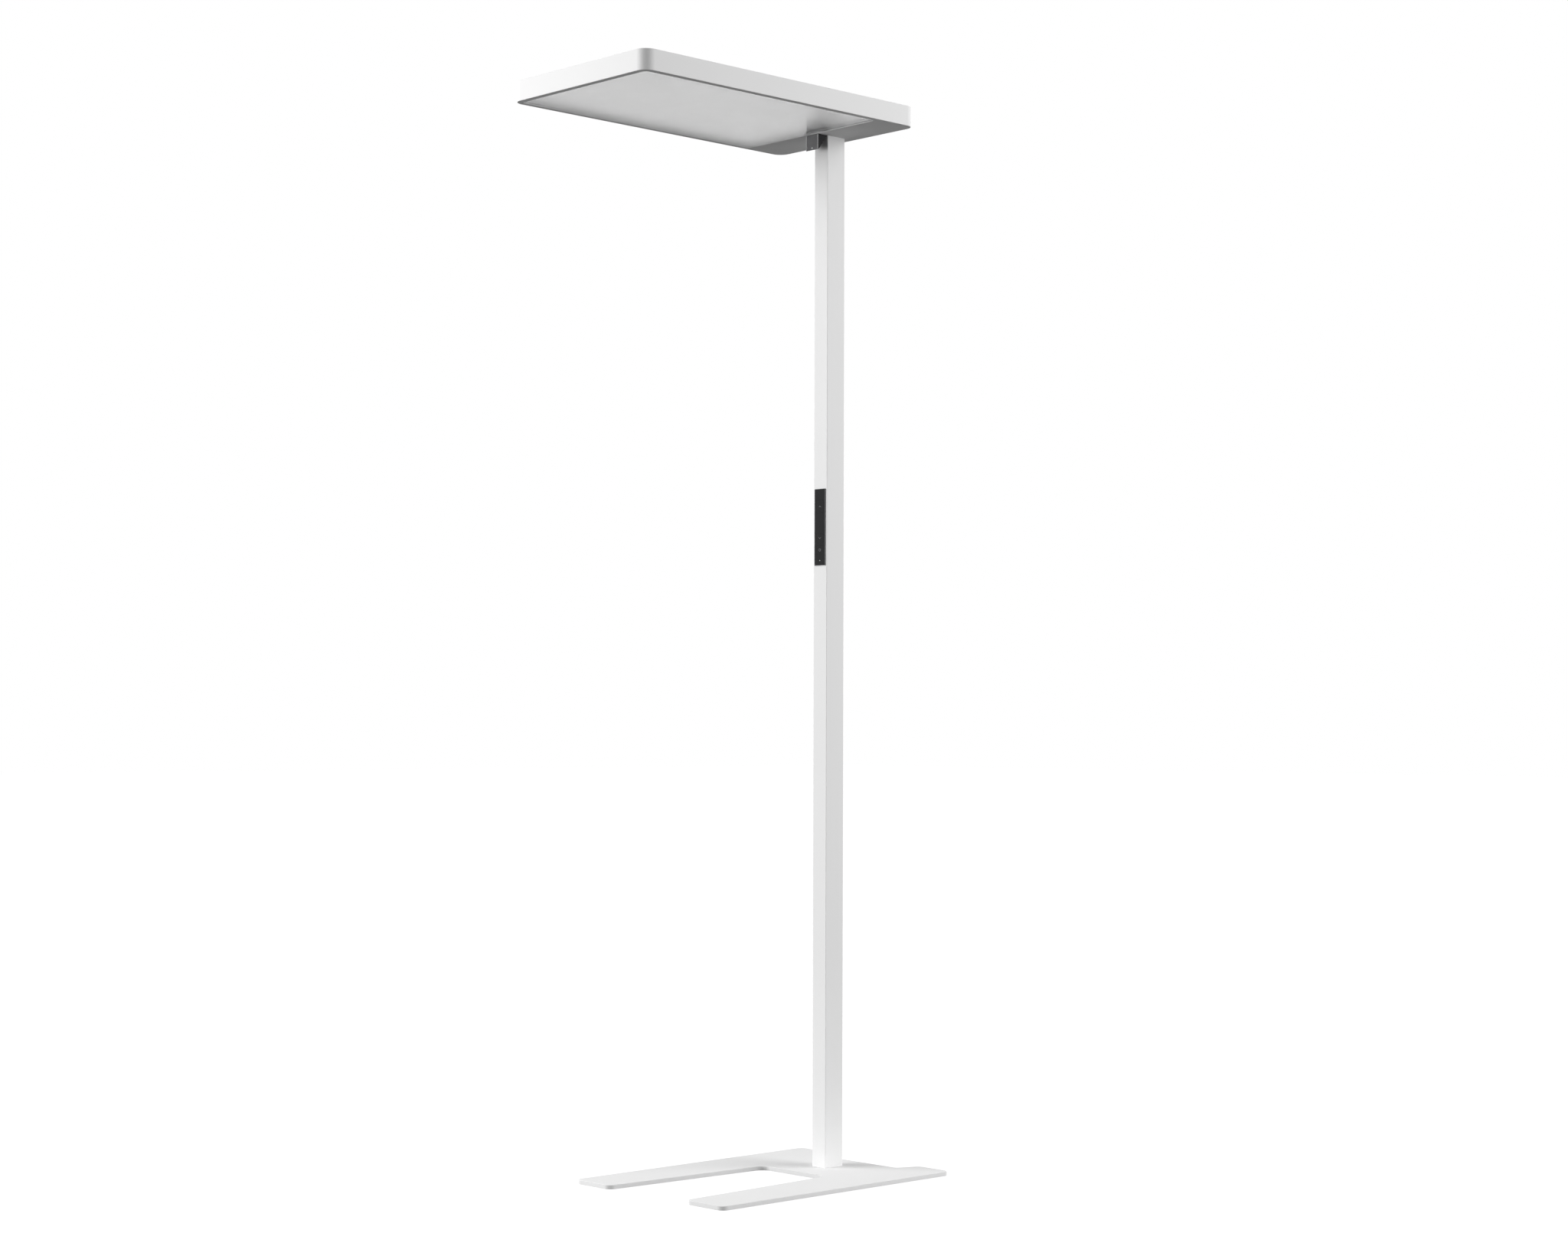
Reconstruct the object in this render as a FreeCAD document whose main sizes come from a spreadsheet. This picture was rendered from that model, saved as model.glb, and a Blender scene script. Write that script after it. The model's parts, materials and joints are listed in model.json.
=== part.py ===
import FreeCAD, Part
import Sketcher
import math
import os
import re

os.makedirs("parts", exist_ok=True)
DOC = FreeCAD.newDocument("office_floor_lamp")
SHEET = DOC.addObject("Spreadsheet::Sheet", "Sizes")

# Driving sizes in millimetres. Places along X are measured from the mast axis, and the
# head reaches toward -X. Heights are measured from the floor.
SIZES = (
    ("total_height", 1950.0, "floor to the top of the head"),
    ("head_reach", 609.3, "mast axis to the front of the head"),
    ("head_back", 43.95, "mast axis to the back of the head"),
    ("head_width", 358.0, "head, side to side"),
    ("head_height", 36.8, "head, underside to top"),
    ("head_corner_radius", 21.0, "upright corners of the head"),
    ("head_wall", 3.0, "side wall of the head frame"),
    ("head_floor", 2.5, "underside of the head frame"),
    ("head_edge", 0.5, "chamfer along the head's outer edges"),
    ("rim_width", 12.0, "visible rim round the light window"),
    ("window_back", 50.0, "mast axis to the back edge of the light window"),
    ("window_corner_radius", 9.0, "corners of the light window"),
    ("window_gap", 0.3, "gap round a diffuser in its window"),
    ("flange_margin", 4.0, "how far a diffuser's flange laps its window"),
    ("flange_corner_radius", 20.0, "corners of the diffuser flange and the light tray"),
    ("flange_thickness", 1.5, "diffuser flange"),
    ("tray_height", 15.0, "light tray, over all"),
    ("tray_sheet", 1.5, "sheet of the light tray"),
    ("cover_thickness", 3.0, "top cover"),
    ("cover_gap", 0.3, "gap round the top cover"),
    ("uplight_end", 58.65, "top cover's window to the ends of the light window"),
    ("uplight_side", 47.0, "top cover's window to the sides of the light window"),
    ("boss_radius", 3.6, "corner bosses under the cover"),
    ("boss_inset", 11.0, "corner boss centre to the head's outer faces"),
    ("standoff_radius", 4.0, "standoffs between the tray and the cover"),
    ("standoff_inset", 30.0, "standoff centre to the tray's edges"),
    ("board_thickness", 1.2, "circuit boards"),
    ("light_panel_thickness", 2.0, "opal panel under the light chips"),
    ("light_panel_gap", 0.3, "gap between the opal panel and the tray"),
    ("strip_width", 14.0, "light strips"),
    ("strip_margin", 25.0, "end of a light strip to the tray's wall"),
    ("downlight_side", 47.0, "middle of the outer downlight strips to the tray's sides"),
    ("uplight_strip_side", 101.0, "middle of the outer uplight strips to the tray's sides"),
    ("chip_side", 3.5, "light chip, square"),
    ("chip_height", 0.8, "light chip, thickness"),
    ("mast_depth", 44.3, "mast section along X"),
    ("mast_width", 34.2, "mast section along Y"),
    ("mast_wall", 2.0, "mast wall"),
    ("mast_corner_radius", 0.8, "outer corners of the mast section"),
    ("block_gap", 0.05, "gap between an end block and the mast wall"),
    ("foot_block_height", 28.0, "block inside the foot of the mast"),
    ("top_block_height", 30.0, "block inside the top of the mast"),
    ("foot_bolt_x", 13.0, "foot bolts from the mast axis along X"),
    ("foot_bolt_y", 9.0, "foot bolts from the mast axis along Y"),
    ("foot_bolt_radius", 3.0, "foot bolt shank"),
    ("foot_bolt_head_radius", 5.2, "foot bolt head"),
    ("foot_bolt_head", 3.2, "foot bolt head height"),
    ("foot_bolt_recess", 3.4, "counterbore under the base plate"),
    ("foot_bolt_grip", 18.0, "foot bolt length inside the block"),
    ("top_bolt_x", 15.0, "top bolts from the mast axis along X"),
    ("top_bolt_y", 11.0, "top bolts from the mast axis along Y"),
    ("top_bolt_radius", 2.0, "top bolt shank"),
    ("top_bolt_head_radius", 3.5, "top bolt head"),
    ("top_bolt_head", 4.0, "top bolt head height"),
    ("top_bolt_grip", 16.0, "top bolt length inside the block"),
    ("screw_gap", 0.15, "radial gap round a screw or bolt"),
    ("thread_room", 2.0, "threaded hole past the end of its screw or bolt"),
    ("pilot_room", 1.0, "sensor screw hole past the end of its screw"),
    ("bracket_length", 46.0, "head bracket along X"),
    ("bracket_width", 90.0, "head bracket along Y"),
    ("bracket_thickness", 4.0, "head bracket"),
    ("wire_way_front", 13.0, "wire opening, mast axis to its front edge"),
    ("wire_way_back", 9.0, "wire opening, mast axis to its back edge"),
    ("wire_way_width", 15.6, "wire opening along Y"),
    ("glide_thickness", 0.4, "glides under the base"),
    ("glide_radius", 14.0, "glides under the base, round"),
    ("glide_inset", 26.0, "glide centre to the base's outer edges"),
    ("base_thickness", 7.6, "base plate"),
    ("base_width", 388.6, "base plate, side to side"),
    ("base_edge", 0.6, "chamfer round the base plate's top"),
    ("prong_reach", 438.0, "mast axis to the prong tips"),
    ("crossbar_front", 84.5, "mast axis to the crossbar's front edge"),
    ("crossbar_back", 78.1, "mast axis to the crossbar's back edge"),
    ("stub_reach", 122.0, "mast axis to the back of the base"),
    ("slot_mouth", 202.0, "slot between the prongs, at the tips"),
    ("slot_root", 164.0, "slot between the prongs, at the crossbar"),
    ("notch_root", 200.0, "notch between the stubs, at the crossbar"),
    ("notch_mouth", 236.0, "notch between the stubs, at the back"),
    ("tip_radius", 14.0, "corners of the prongs and stubs"),
    ("slot_root_radius", 18.0, "corners of the slot at the crossbar"),
    ("notch_root_radius", 10.0, "corners of the notch at the crossbar"),
    ("sensor_width", 32.0, "sensor housing along Y"),
    ("sensor_depth", 24.0, "sensor housing along X"),
    ("sensor_height", 28.5, "sensor housing, underside of the head to its tip"),
    ("sensor_cover_thickness", 1.5, "sensor window"),
    ("sensor_cavity_depth", 8.0, "sensor cavity along X"),
    ("sensor_cavity_height", 8.0, "sensor cavity along Z"),
    ("sensor_cavity_wall", 1.8, "sensor cavity to the head's underside and the sides"),
    ("sensor_can_radius", 2.8, "presence sensor can"),
    ("sensor_can_length", 4.0, "presence sensor can"),
    ("sensor_board_gap", 0.2, "gap round the sensor board"),
    ("light_cell_side", 2.4, "light sensor, square"),
    ("light_cell_place", 9.0, "light sensor from the middle of the housing"),
    ("sensor_screw_x", 30.0, "sensor screws from the mast axis along X"),
    ("sensor_screw_y", 10.5, "sensor screws from the middle along Y"),
    ("small_screw_radius", 1.25, "small screw shank"),
    ("small_screw_head_radius", 2.2, "small screw head"),
    ("small_screw_head", 1.6, "small screw head height"),
    ("small_screw_grip", 5.0, "small screw length past what it holds"),
    ("panel_bottom", 1113.4, "floor to the bottom of the control panel"),
    ("panel_height", 142.5, "control panel, bottom to top"),
    ("panel_width", 28.5, "control panel along Y"),
    ("panel_proud", 1.2, "control panel's face above the mast's face"),
    ("panel_corner_radius", 1.5, "corners of the control panel"),
    ("panel_lap", 2.3, "how far the panel laps its opening in the mast"),
    ("tub_gap", 0.2, "gap between the control tub and its opening"),
    ("tub_wall", 1.2, "walls of the control tub"),
    ("tub_depth", 8.0, "control tub, mast face to its back"),
    ("control_board_gap", 0.5, "gap round the control board"),
    ("key_width", 18.0, "keys along Y"),
    ("key_gap", 0.15, "gap round a key"),
    ("key_lip", 0.9, "how far a key's flange laps its opening"),
    ("key_flange", 1.0, "key flange thickness"),
    ("key_play", 0.1, "gap between a key's flange and the panel"),
    ("key_travel", 0.8, "how far a key goes in"),
    ("brighter_place", 110.0, "middle of the brighter key above the panel's bottom"),
    ("brighter_height", 24.0, "brighter key"),
    ("dimmer_place", 50.4, "middle of the dimmer key above the panel's bottom"),
    ("dimmer_height", 16.0, "dimmer key"),
    ("power_place", 29.1, "middle of the power key above the panel's bottom"),
    ("power_height", 16.0, "power key"),
    ("indicator_place", 9.2, "indicator above the panel's bottom"),
    ("indicator_radius", 0.8, "indicator light pipe"),
    ("switch_side", 6.2, "switch can, square"),
    ("switch_height", 3.5, "switch can, board to front"),
    ("switch_gap", 0.25, "gap between a pressed key's flange and its switch"),
    ("plunger_radius", 1.5, "switch plunger"),
    ("plunger_gap", 0.06, "running gap round a plunger"),
    ("plunger_reach", 1.0, "plunger length inside its switch at rest"),
    ("plunger_end_gap", 0.4, "gap under a pressed plunger"),
    ("inlet_height", 76.0, "floor to the middle of the mains inlet"),
    ("inlet_body_width", 22.0, "inlet body along Y"),
    ("inlet_body_height", 30.0, "inlet body along Z"),
    ("inlet_body_depth", 16.0, "inlet body inside the mast's face"),
    ("inlet_flange_width", 27.0, "inlet flange along Y"),
    ("inlet_flange_height", 50.0, "inlet flange along Z"),
    ("inlet_flange_thickness", 2.0, "inlet flange"),
    ("inlet_wall", 2.0, "wall round the inlet socket"),
    ("inlet_gap", 0.2, "gap between the inlet body and its opening"),
    ("inlet_screw_pitch", 40.0, "spacing of the inlet screws"),
    ("pin_width", 4.0, "inlet pin along Z"),
    ("pin_thickness", 2.0, "inlet pin along Y"),
    ("pin_length", 12.0, "inlet pin"),
    ("pin_pitch", 7.0, "spacing of the inlet pins along Z"),
    ("pin_offset", 2.5, "inlet pins to the middle of the socket along Y"),
    ("driver_front", 42.0, "mast axis to the front of the light driver"),
    ("driver_back", 28.0, "mast axis to the back of the light driver"),
    ("driver_side_gap", 12.0, "light driver to the head's side wall"),
    ("driver_width", 96.0, "light driver along Y"),
    ("driver_height", 23.0, "light driver"),
    ("pad_thickness", 1.0, "thermal pad under the driver"),
    ("dimmer_module_height", 20.0, "dimmer module"),
    ("connector_width", 14.0, "light connectors along Y"),
    ("connector_height", 6.0, "light connectors"),
    ("mains_lead_radius", 2.5, "mains lead inside the mast"),
    ("mains_lead_bend", 15.0, "bends of the mains lead"),
    ("control_lead_radius", 2.0, "control lead inside the mast"),
    ("control_lead_bend", 12.0, "bends of the control lead"),
    ("control_lead_y", 5.2, "control lead from the mast axis along Y"),
    ("control_lead_place", 122.0, "control lead's start above the panel's bottom"),
    ("lead_start", 1.0, "straight start of a lead"),
)
for row, (alias, size, note) in enumerate(SIZES, 1):
    SHEET.set(f"A{row}", note)
    SHEET.set(f"B{row}", str(size))
    SHEET.setAlias(f"B{row}", alias)
DOC.recompute()

ALIASES = [alias for alias, _, _ in SIZES]
ALIAS_PATTERN = re.compile(r"\b(" + "|".join(ALIASES) + r")\b")

# Places that follow from the driving sizes, as expressions in the sheet's names.
MAST_X = "((head_reach - stub_reach) / 2)"
BASE_TOP = "(glide_thickness + base_thickness)"
HEAD_BOTTOM = "(total_height - head_height)"
FLOOR_TOP = f"({HEAD_BOTTOM} + head_floor)"
BRACKET_TOP = f"({FLOOR_TOP} + bracket_thickness)"
FLANGE_TOP = f"({FLOOR_TOP} + flange_thickness)"
TRAY_TOP = f"({FLANGE_TOP} + tray_height)"
DRIVER_Y = "(head_width / 2 - head_wall - driver_side_gap - driver_width / 2)"
CHIP_BOTTOM = f"({TRAY_TOP} - tray_sheet - board_thickness - chip_height)"
COVER_BOTTOM = "(total_height - cover_thickness)"
MAST_FACE = "(mast_depth / 2)"
WINDOW_LENGTH = "(head_reach - rim_width - window_back)"
WINDOW_WIDTH = "(head_width - 2 * rim_width)"
WINDOW_X = "(-(head_reach - rim_width + window_back) / 2)"
UPLIGHT_LENGTH = f"({WINDOW_LENGTH} - 2 * uplight_end)"
UPLIGHT_WIDTH = f"({WINDOW_WIDTH} - 2 * uplight_side)"
FLANGE_LENGTH = f"({WINDOW_LENGTH} + 2 * flange_margin)"
FLANGE_WIDTH = f"({WINDOW_WIDTH} + 2 * flange_margin)"
HEAD_LENGTH = "(head_reach + head_back)"
HEAD_X = "((head_back - head_reach) / 2)"
WAY_LENGTH = "(wire_way_front + wire_way_back)"
WAY_X = "((wire_way_back - wire_way_front) / 2)"
TUB_WIDTH = "(panel_width - 2 * panel_lap - 2 * tub_gap)"
TUB_HEIGHT = "(panel_height - 2 * panel_lap - 2 * tub_gap)"
PANEL_Z = "(panel_bottom + panel_height / 2)"
FLANGE_FRONT = f"(-{MAST_FACE} + key_play)"
FLANGE_BACK = f"({FLANGE_FRONT} + key_flange)"
SWITCH_FRONT = f"({FLANGE_BACK} + key_travel + switch_gap)"
CONTROL_BOARD_X = f"({SWITCH_FRONT} + switch_height)"
TUB_BACK = f"(-{MAST_FACE} + tub_depth)"
INLET_BACK = f"({MAST_FACE} - inlet_body_depth)"
SENSOR_FRONT = f"(-{MAST_FACE} - sensor_depth)"
SENSOR_INNER = f"({SENSOR_FRONT} + sensor_cover_thickness)"
CAVITY_BACK = f"({SENSOR_INNER} + sensor_cavity_depth)"
CAVITY_Z = f"({HEAD_BOTTOM} - sensor_cavity_wall - sensor_cavity_height / 2)"


def read(alias):
    """Return one driving size as a number."""
    return float(SHEET.get(alias))


def bind(target, prop, expression):
    """Tie a property to an expression written in the sheet's names."""
    target.setExpression(prop, ALIAS_PATTERN.sub(r"Sizes.\1", str(expression)))


def place(target, x, y, z, rotation=None):
    """Put an object at a place measured from the mast axis and the floor."""
    if rotation is not None:
        target.Placement = FreeCAD.Placement(FreeCAD.Vector(), rotation)
    bind(target, "Placement.Base.x", f"{MAST_X} + {x}")
    bind(target, "Placement.Base.y", y)
    bind(target, "Placement.Base.z", z)


def box(name, size, middle):
    """Make a block of the given size, set by its middle in X and Y and its underside."""
    made = DOC.addObject("Part::Box", name)
    for prop, expression in zip(("Length", "Width", "Height"), size):
        bind(made, prop, expression)
    x, y, z = middle
    place(made, f"{x} - ({size[0]}) / 2", f"{y} - ({size[1]}) / 2", z)
    return made


ALONG = {
    "+x": FreeCAD.Vector(1, 0, 0),
    "-x": FreeCAD.Vector(-1, 0, 0),
    "+z": FreeCAD.Vector(0, 0, 1),
    "-z": FreeCAD.Vector(0, 0, -1),
}


def rod(name, radius, length, start, direction="+z"):
    """Make a round bar from its start along a direction."""
    made = DOC.addObject("Part::Cylinder", name)
    bind(made, "Radius", radius)
    bind(made, "Height", length)
    x, y, z = start
    place(made, x, y, z, FreeCAD.Rotation(FreeCAD.Vector(0, 0, 1), ALONG[direction]))
    return made


def shifted(start, direction, distance):
    """Return a place moved along a direction by an expression."""
    vector = ALONG[direction]
    steps = (round(vector.x), round(vector.y), round(vector.z))
    return tuple(f"({old} + ({step}) * ({distance}))" for old, step in zip(start, steps))


def group(name, members):
    """Join separate like pieces into one node."""
    made = DOC.addObject("Part::Compound", name)
    made.Links = members
    return made


def fuse(name, members):
    """Join touching pieces into one solid."""
    made = DOC.addObject("Part::MultiFuse", name)
    made.Shapes = members
    return made


def cut(name, base, tools):
    """Take tools that don't touch each other out of a base."""
    made = DOC.addObject("Part::Cut", name)
    made.Base = base
    made.Tool = tools[0] if len(tools) == 1 else group(f"{name}_tools", tools)
    return made


def screws(name, seats, direction, head_radius, head_height, radius, length):
    """Make screws whose heads sit on their seats and whose shanks run along a direction."""
    made = []
    for index, seat in enumerate(seats):
        below = shifted(seat, direction, f"-({head_height})")
        head = rod(f"{name}_head_{index}", head_radius, head_height, below, direction)
        shank = rod(f"{name}_shank_{index}", radius, length, seat, direction)
        made.append(fuse(f"{name}_{index}", [head, shank]))
    return group(name, made)


def four(x, y):
    """Return the four places of a rectangle pattern round the mast axis."""
    return [(f"{sx}{x}", f"{sy}{y}") for sx in ("-", "") for sy in ("-", "")]


def body(name):
    """Start a body whose origin is on the mast axis at the floor."""
    made = DOC.addObject("PartDesign::Body", name)
    place(made, "0", "0", "0")
    return made


def attach(owner, name, role, offset):
    """Add a sketch on one of a body's origin planes, moved by its offset."""
    plane = next(part for part in owner.Origin.OriginFeatures if part.Role == role)
    sketch = owner.newObject("Sketcher::SketchObject", name)
    sketch.AttachmentSupport = [(plane, "")]
    sketch.MapMode = "FlatFace"
    for axis, expression in zip("xyz", offset):
        bind(sketch, f"AttachmentOffset.Base.{axis}", expression)
    return sketch


def outline(sketch, corners):
    """Draw closed straight sides through corners and join them."""
    points = [FreeCAD.Vector(x, y, 0) for x, y in corners]
    count = len(points)
    for index in range(count):
        sketch.addGeometry(Part.LineSegment(points[index], points[(index + 1) % count]), False)
    for index in range(count):
        sketch.addConstraint(Sketcher.Constraint("Coincident", index, 2, (index + 1) % count, 1))


def hold(sketch, name, kind, places, start, expression):
    """Add a named size to a sketch and tie it to the sheet."""
    number = sketch.addConstraint(Sketcher.Constraint(kind, *places, start))
    sketch.renameConstraint(number, name)
    bind(sketch, f"Constraints.{name}", expression)


def rectangle(owner, name, role, width, height, offset):
    """Draw a rectangle centred on its offset."""
    sketch = attach(owner, name, role, offset)
    outline(sketch, ((-10, -8), (10, -8), (10, 8), (-10, 8)))
    for side, kind in ((0, "Horizontal"), (1, "Vertical"), (2, "Horizontal"), (3, "Vertical")):
        sketch.addConstraint(Sketcher.Constraint(kind, side))
    sketch.addConstraint(Sketcher.Constraint("Symmetric", 0, 1, 1, 2, -1, 1))
    hold(sketch, "width", "DistanceX", (0, 1, 0, 2), 20, width)
    hold(sketch, "height", "DistanceY", (1, 1, 1, 2), 16, height)
    return sketch


def trapezium(owner, name, near, far, depth, offset):
    """Draw a shape that widens or narrows along X and is even about it."""
    sketch = attach(owner, name, "XY_Plane", offset)
    outline(sketch, ((0, -10), (30, -8), (30, 8), (0, 10)))
    sketch.addConstraint(Sketcher.Constraint("Symmetric", 0, 1, 2, 2, -1, 1))
    sketch.addConstraint(Sketcher.Constraint("Vertical", 3))
    sketch.addConstraint(Sketcher.Constraint("Symmetric", 1, 1, 1, 2, -1))
    hold(sketch, "near", "DistanceY", (0, 1, 2, 2), 20, near)
    hold(sketch, "far", "DistanceY", (1, 1, 1, 2), 16, far)
    hold(sketch, "depth", "DistanceX", (0, 1, 0, 2), 30, depth)
    return sketch


def circles(owner, name, radius, spots, height):
    """Draw like circles at spots round the mast axis."""
    made = []
    for index, (x, y) in enumerate(spots):
        sketch = attach(owner, f"{name}_{index}", "XY_Plane", (x, y, height))
        ring = Part.Circle(FreeCAD.Vector(), FreeCAD.Vector(0, 0, 1), 1)
        sketch.addGeometry(ring, False)
        sketch.addConstraint(Sketcher.Constraint("Coincident", 0, 3, -1, 1))
        hold(sketch, "radius", "Radius", (0,), 1, radius)
        made.append(sketch)
    return made


def pad(owner, sketch, length):
    """Raise a sketch along its normal."""
    made = owner.newObject("PartDesign::Pad", f"{sketch.Name}_pad")
    made.Profile = sketch
    bind(made, "Length", length)
    DOC.recompute()
    return made


def pocket(owner, sketch, depth):
    """Cut a sketch against its normal and check that it took material away."""
    before = owner.Tip.Shape.Volume
    made = owner.newObject("PartDesign::Pocket", f"{sketch.Name}_cut")
    made.Profile = sketch
    bind(made, "Length", depth)
    DOC.recompute()
    assert made.Shape.Volume < before, f"{made.Name} took nothing away"
    return made


def dress(owner, kind, name, prop, size, wanted):
    """Round or bevel the edges of a body that a test picks."""
    before = owner.Tip
    names = [f"Edge{n}" for n, edge in enumerate(before.Shape.Edges, 1) if wanted(edge)]
    assert names, f"{name} found no edges"
    made = owner.newObject(f"PartDesign::{kind}", name)
    made.Base = (before, names)
    bind(made, prop, size)
    DOC.recompute()


def upright_at(spots):
    """Return a test for upright straight edges at given X and Y."""
    def wanted(edge):
        box_of = edge.BoundBox
        if box_of.XLength > 0.01 or box_of.YLength > 0.01:
            return False
        return any(
            abs(box_of.XMin - x) < 0.05 and abs(abs(box_of.YMin) - y) < 0.05 for x, y in spots
        )
    return wanted


def level_on(heights, limits):
    """Return a test for level edges at given heights that reach an outer limit."""
    front, back, half = limits

    def wanted(edge):
        box_of = edge.BoundBox
        level = any(abs(box_of.ZMin - z) < 0.001 and box_of.ZLength < 0.001 for z in heights)
        reaches = (abs(box_of.XMin - front) < 0.01 or abs(box_of.XMax - back) < 0.01
                   or max(abs(box_of.YMin), abs(box_of.YMax)) > half - 0.01)
        return level and reaches
    return wanted


def level_outer(height, half_width):
    """Return a test for level edges at a height that belong to the outer outline."""
    def wanted(edge):
        box_of = edge.BoundBox
        level = box_of.ZLength < 0.001 and abs(box_of.ZMin - height) < 0.001
        return level and max(abs(box_of.YMin), abs(box_of.YMax)) > half_width
    return wanted


def rounded_plate(name, length, width, middle_x, bottom, thickness, radius, corners):
    """Make a plate with rounded upright corners."""
    made = body(name)
    flat = rectangle(made, f"{name}_outline", "XY_Plane", length, width, (middle_x, "0", bottom))
    pad(made, flat, thickness)
    dress(made, "Fillet", f"{name}_corners", "Radius", radius, upright_at(corners))
    return made


def lead(name, points, bend, radius):
    """Make a cable of straight runs joined by tangent arcs and check its volume."""
    shift = FreeCAD.Vector((read("head_reach") - read("stub_reach")) / 2, 0, 0)
    stops = [FreeCAD.Vector(*point) + shift for point in points]
    edges = []
    start = stops[0]
    for before, corner, after in zip(stops, stops[1:], stops[2:]):
        into = (corner - before).normalize()
        away = (after - corner).normalize()
        turn = into.getAngle(away)
        back = bend * math.tan(turn / 2)
        first = corner - into * back
        last = corner + away * back
        centre_way = (away - into).normalize()
        centre = corner + centre_way * (bend / math.cos(turn / 2))
        middle = centre - centre_way * bend
        edges.append(Part.LineSegment(start, first).toShape())
        edges.append(Part.Arc(first, middle, last).toShape())
        start = last
        print(f"{name}: bend radius {bend:.1f} mm, {math.degrees(turn):.0f} degrees")
    edges.append(Part.LineSegment(start, stops[-1]).toShape())
    path = Part.Wire(edges)
    ring = Part.makeCircle(radius, stops[0], (stops[1] - stops[0]).normalize())
    solid = path.makePipeShell([Part.Wire([ring])], True, False)
    expected = math.pi * radius ** 2 * path.Length
    assert abs(solid.Volume - expected) < 0.001 * expected, f"{name} has the wrong volume"
    made = DOC.addObject("Part::Feature", name)
    made.Shape = solid
    made.Placement = FreeCAD.Placement()
    return made


def base_nodes():
    """Make the base plate, its glides and the foot of the mast."""
    plate = body("base_plate")
    length = "(prong_reach + stub_reach)"
    middle = "((stub_reach - prong_reach) / 2)"
    flat = rectangle(plate, "base_outline", "XY_Plane", length, "base_width",
                     (middle, "0", "glide_thickness"))
    pad(plate, flat, "base_thickness")
    slot = trapezium(plate, "desk_slot", "slot_mouth", "slot_root",
                     "(prong_reach - crossbar_front)", ("-prong_reach", "0", BASE_TOP))
    pocket(plate, slot, "base_thickness")
    notch = trapezium(plate, "back_notch", "notch_root", "notch_mouth",
                      "(stub_reach - crossbar_back)", ("crossbar_back", "0", BASE_TOP))
    pocket(plate, notch, "base_thickness")
    bolt_spots = four("foot_bolt_x", "foot_bolt_y")
    for hole in circles(plate, "bolt_hole", "foot_bolt_radius + screw_gap", bolt_spots, BASE_TOP):
        pocket(plate, hole, "base_thickness")
    recess_top = "(glide_thickness + foot_bolt_recess)"
    for hole in circles(plate, "bolt_recess", "foot_bolt_head_radius + screw_gap",
                        bolt_spots, recess_top):
        pocket(plate, hole, "foot_bolt_recess")
    half = read("base_width") / 2
    front = -read("prong_reach")
    back = read("stub_reach")
    tips = ((front, half), (front, read("slot_mouth") / 2),
            (back, half), (back, read("notch_mouth") / 2))
    dress(plate, "Fillet", "tip_corners", "Radius", "tip_radius", upright_at(tips))
    slot_roots = ((-read("crossbar_front"), read("slot_root") / 2),)
    dress(plate, "Fillet", "slot_corners", "Radius", "slot_root_radius", upright_at(slot_roots))
    notch_roots = ((read("crossbar_back"), read("notch_root") / 2),)
    dress(plate, "Fillet", "notch_corners", "Radius", "notch_root_radius",
          upright_at(notch_roots))
    top = read("glide_thickness") + read("base_thickness")
    dress(plate, "Chamfer", "base_top_edge", "Size", "base_edge",
          level_outer(top, read("mast_width")))

    front_x = "-(prong_reach - glide_inset)"
    back_x = "(stub_reach - glide_inset)"
    side_y = "(base_width / 2 - glide_inset)"
    glides = []
    for index, x in enumerate((front_x, "-crossbar_front", back_x)):
        for side, sign in (("left", "-"), ("right", "")):
            glides.append(rod(f"glide_{index}_{side}", "glide_radius", "glide_thickness",
                              (x, f"{sign}{side_y}", "0")))
    group("base_glides", glides)

    inner = ("(mast_depth - 2 * mast_wall - 2 * block_gap)",
             "(mast_width - 2 * mast_wall - 2 * block_gap)")
    block = box("foot_block_blank", (*inner, "foot_block_height"), ("0", "0", BASE_TOP))
    holes = [
        rod(f"foot_thread_{index}", "foot_bolt_radius + screw_gap", "foot_bolt_grip + thread_room",
            (x, y, BASE_TOP))
        for index, (x, y) in enumerate(bolt_spots)
    ]
    cut("mast_foot_block", block, holes)
    seats = [(x, y, recess_top) for x, y in bolt_spots]
    reach = "(base_thickness - foot_bolt_recess + foot_bolt_grip)"
    screws("mast_foot_bolts", seats, "+z", "foot_bolt_head_radius", "foot_bolt_head",
           "foot_bolt_radius", reach)


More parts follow.
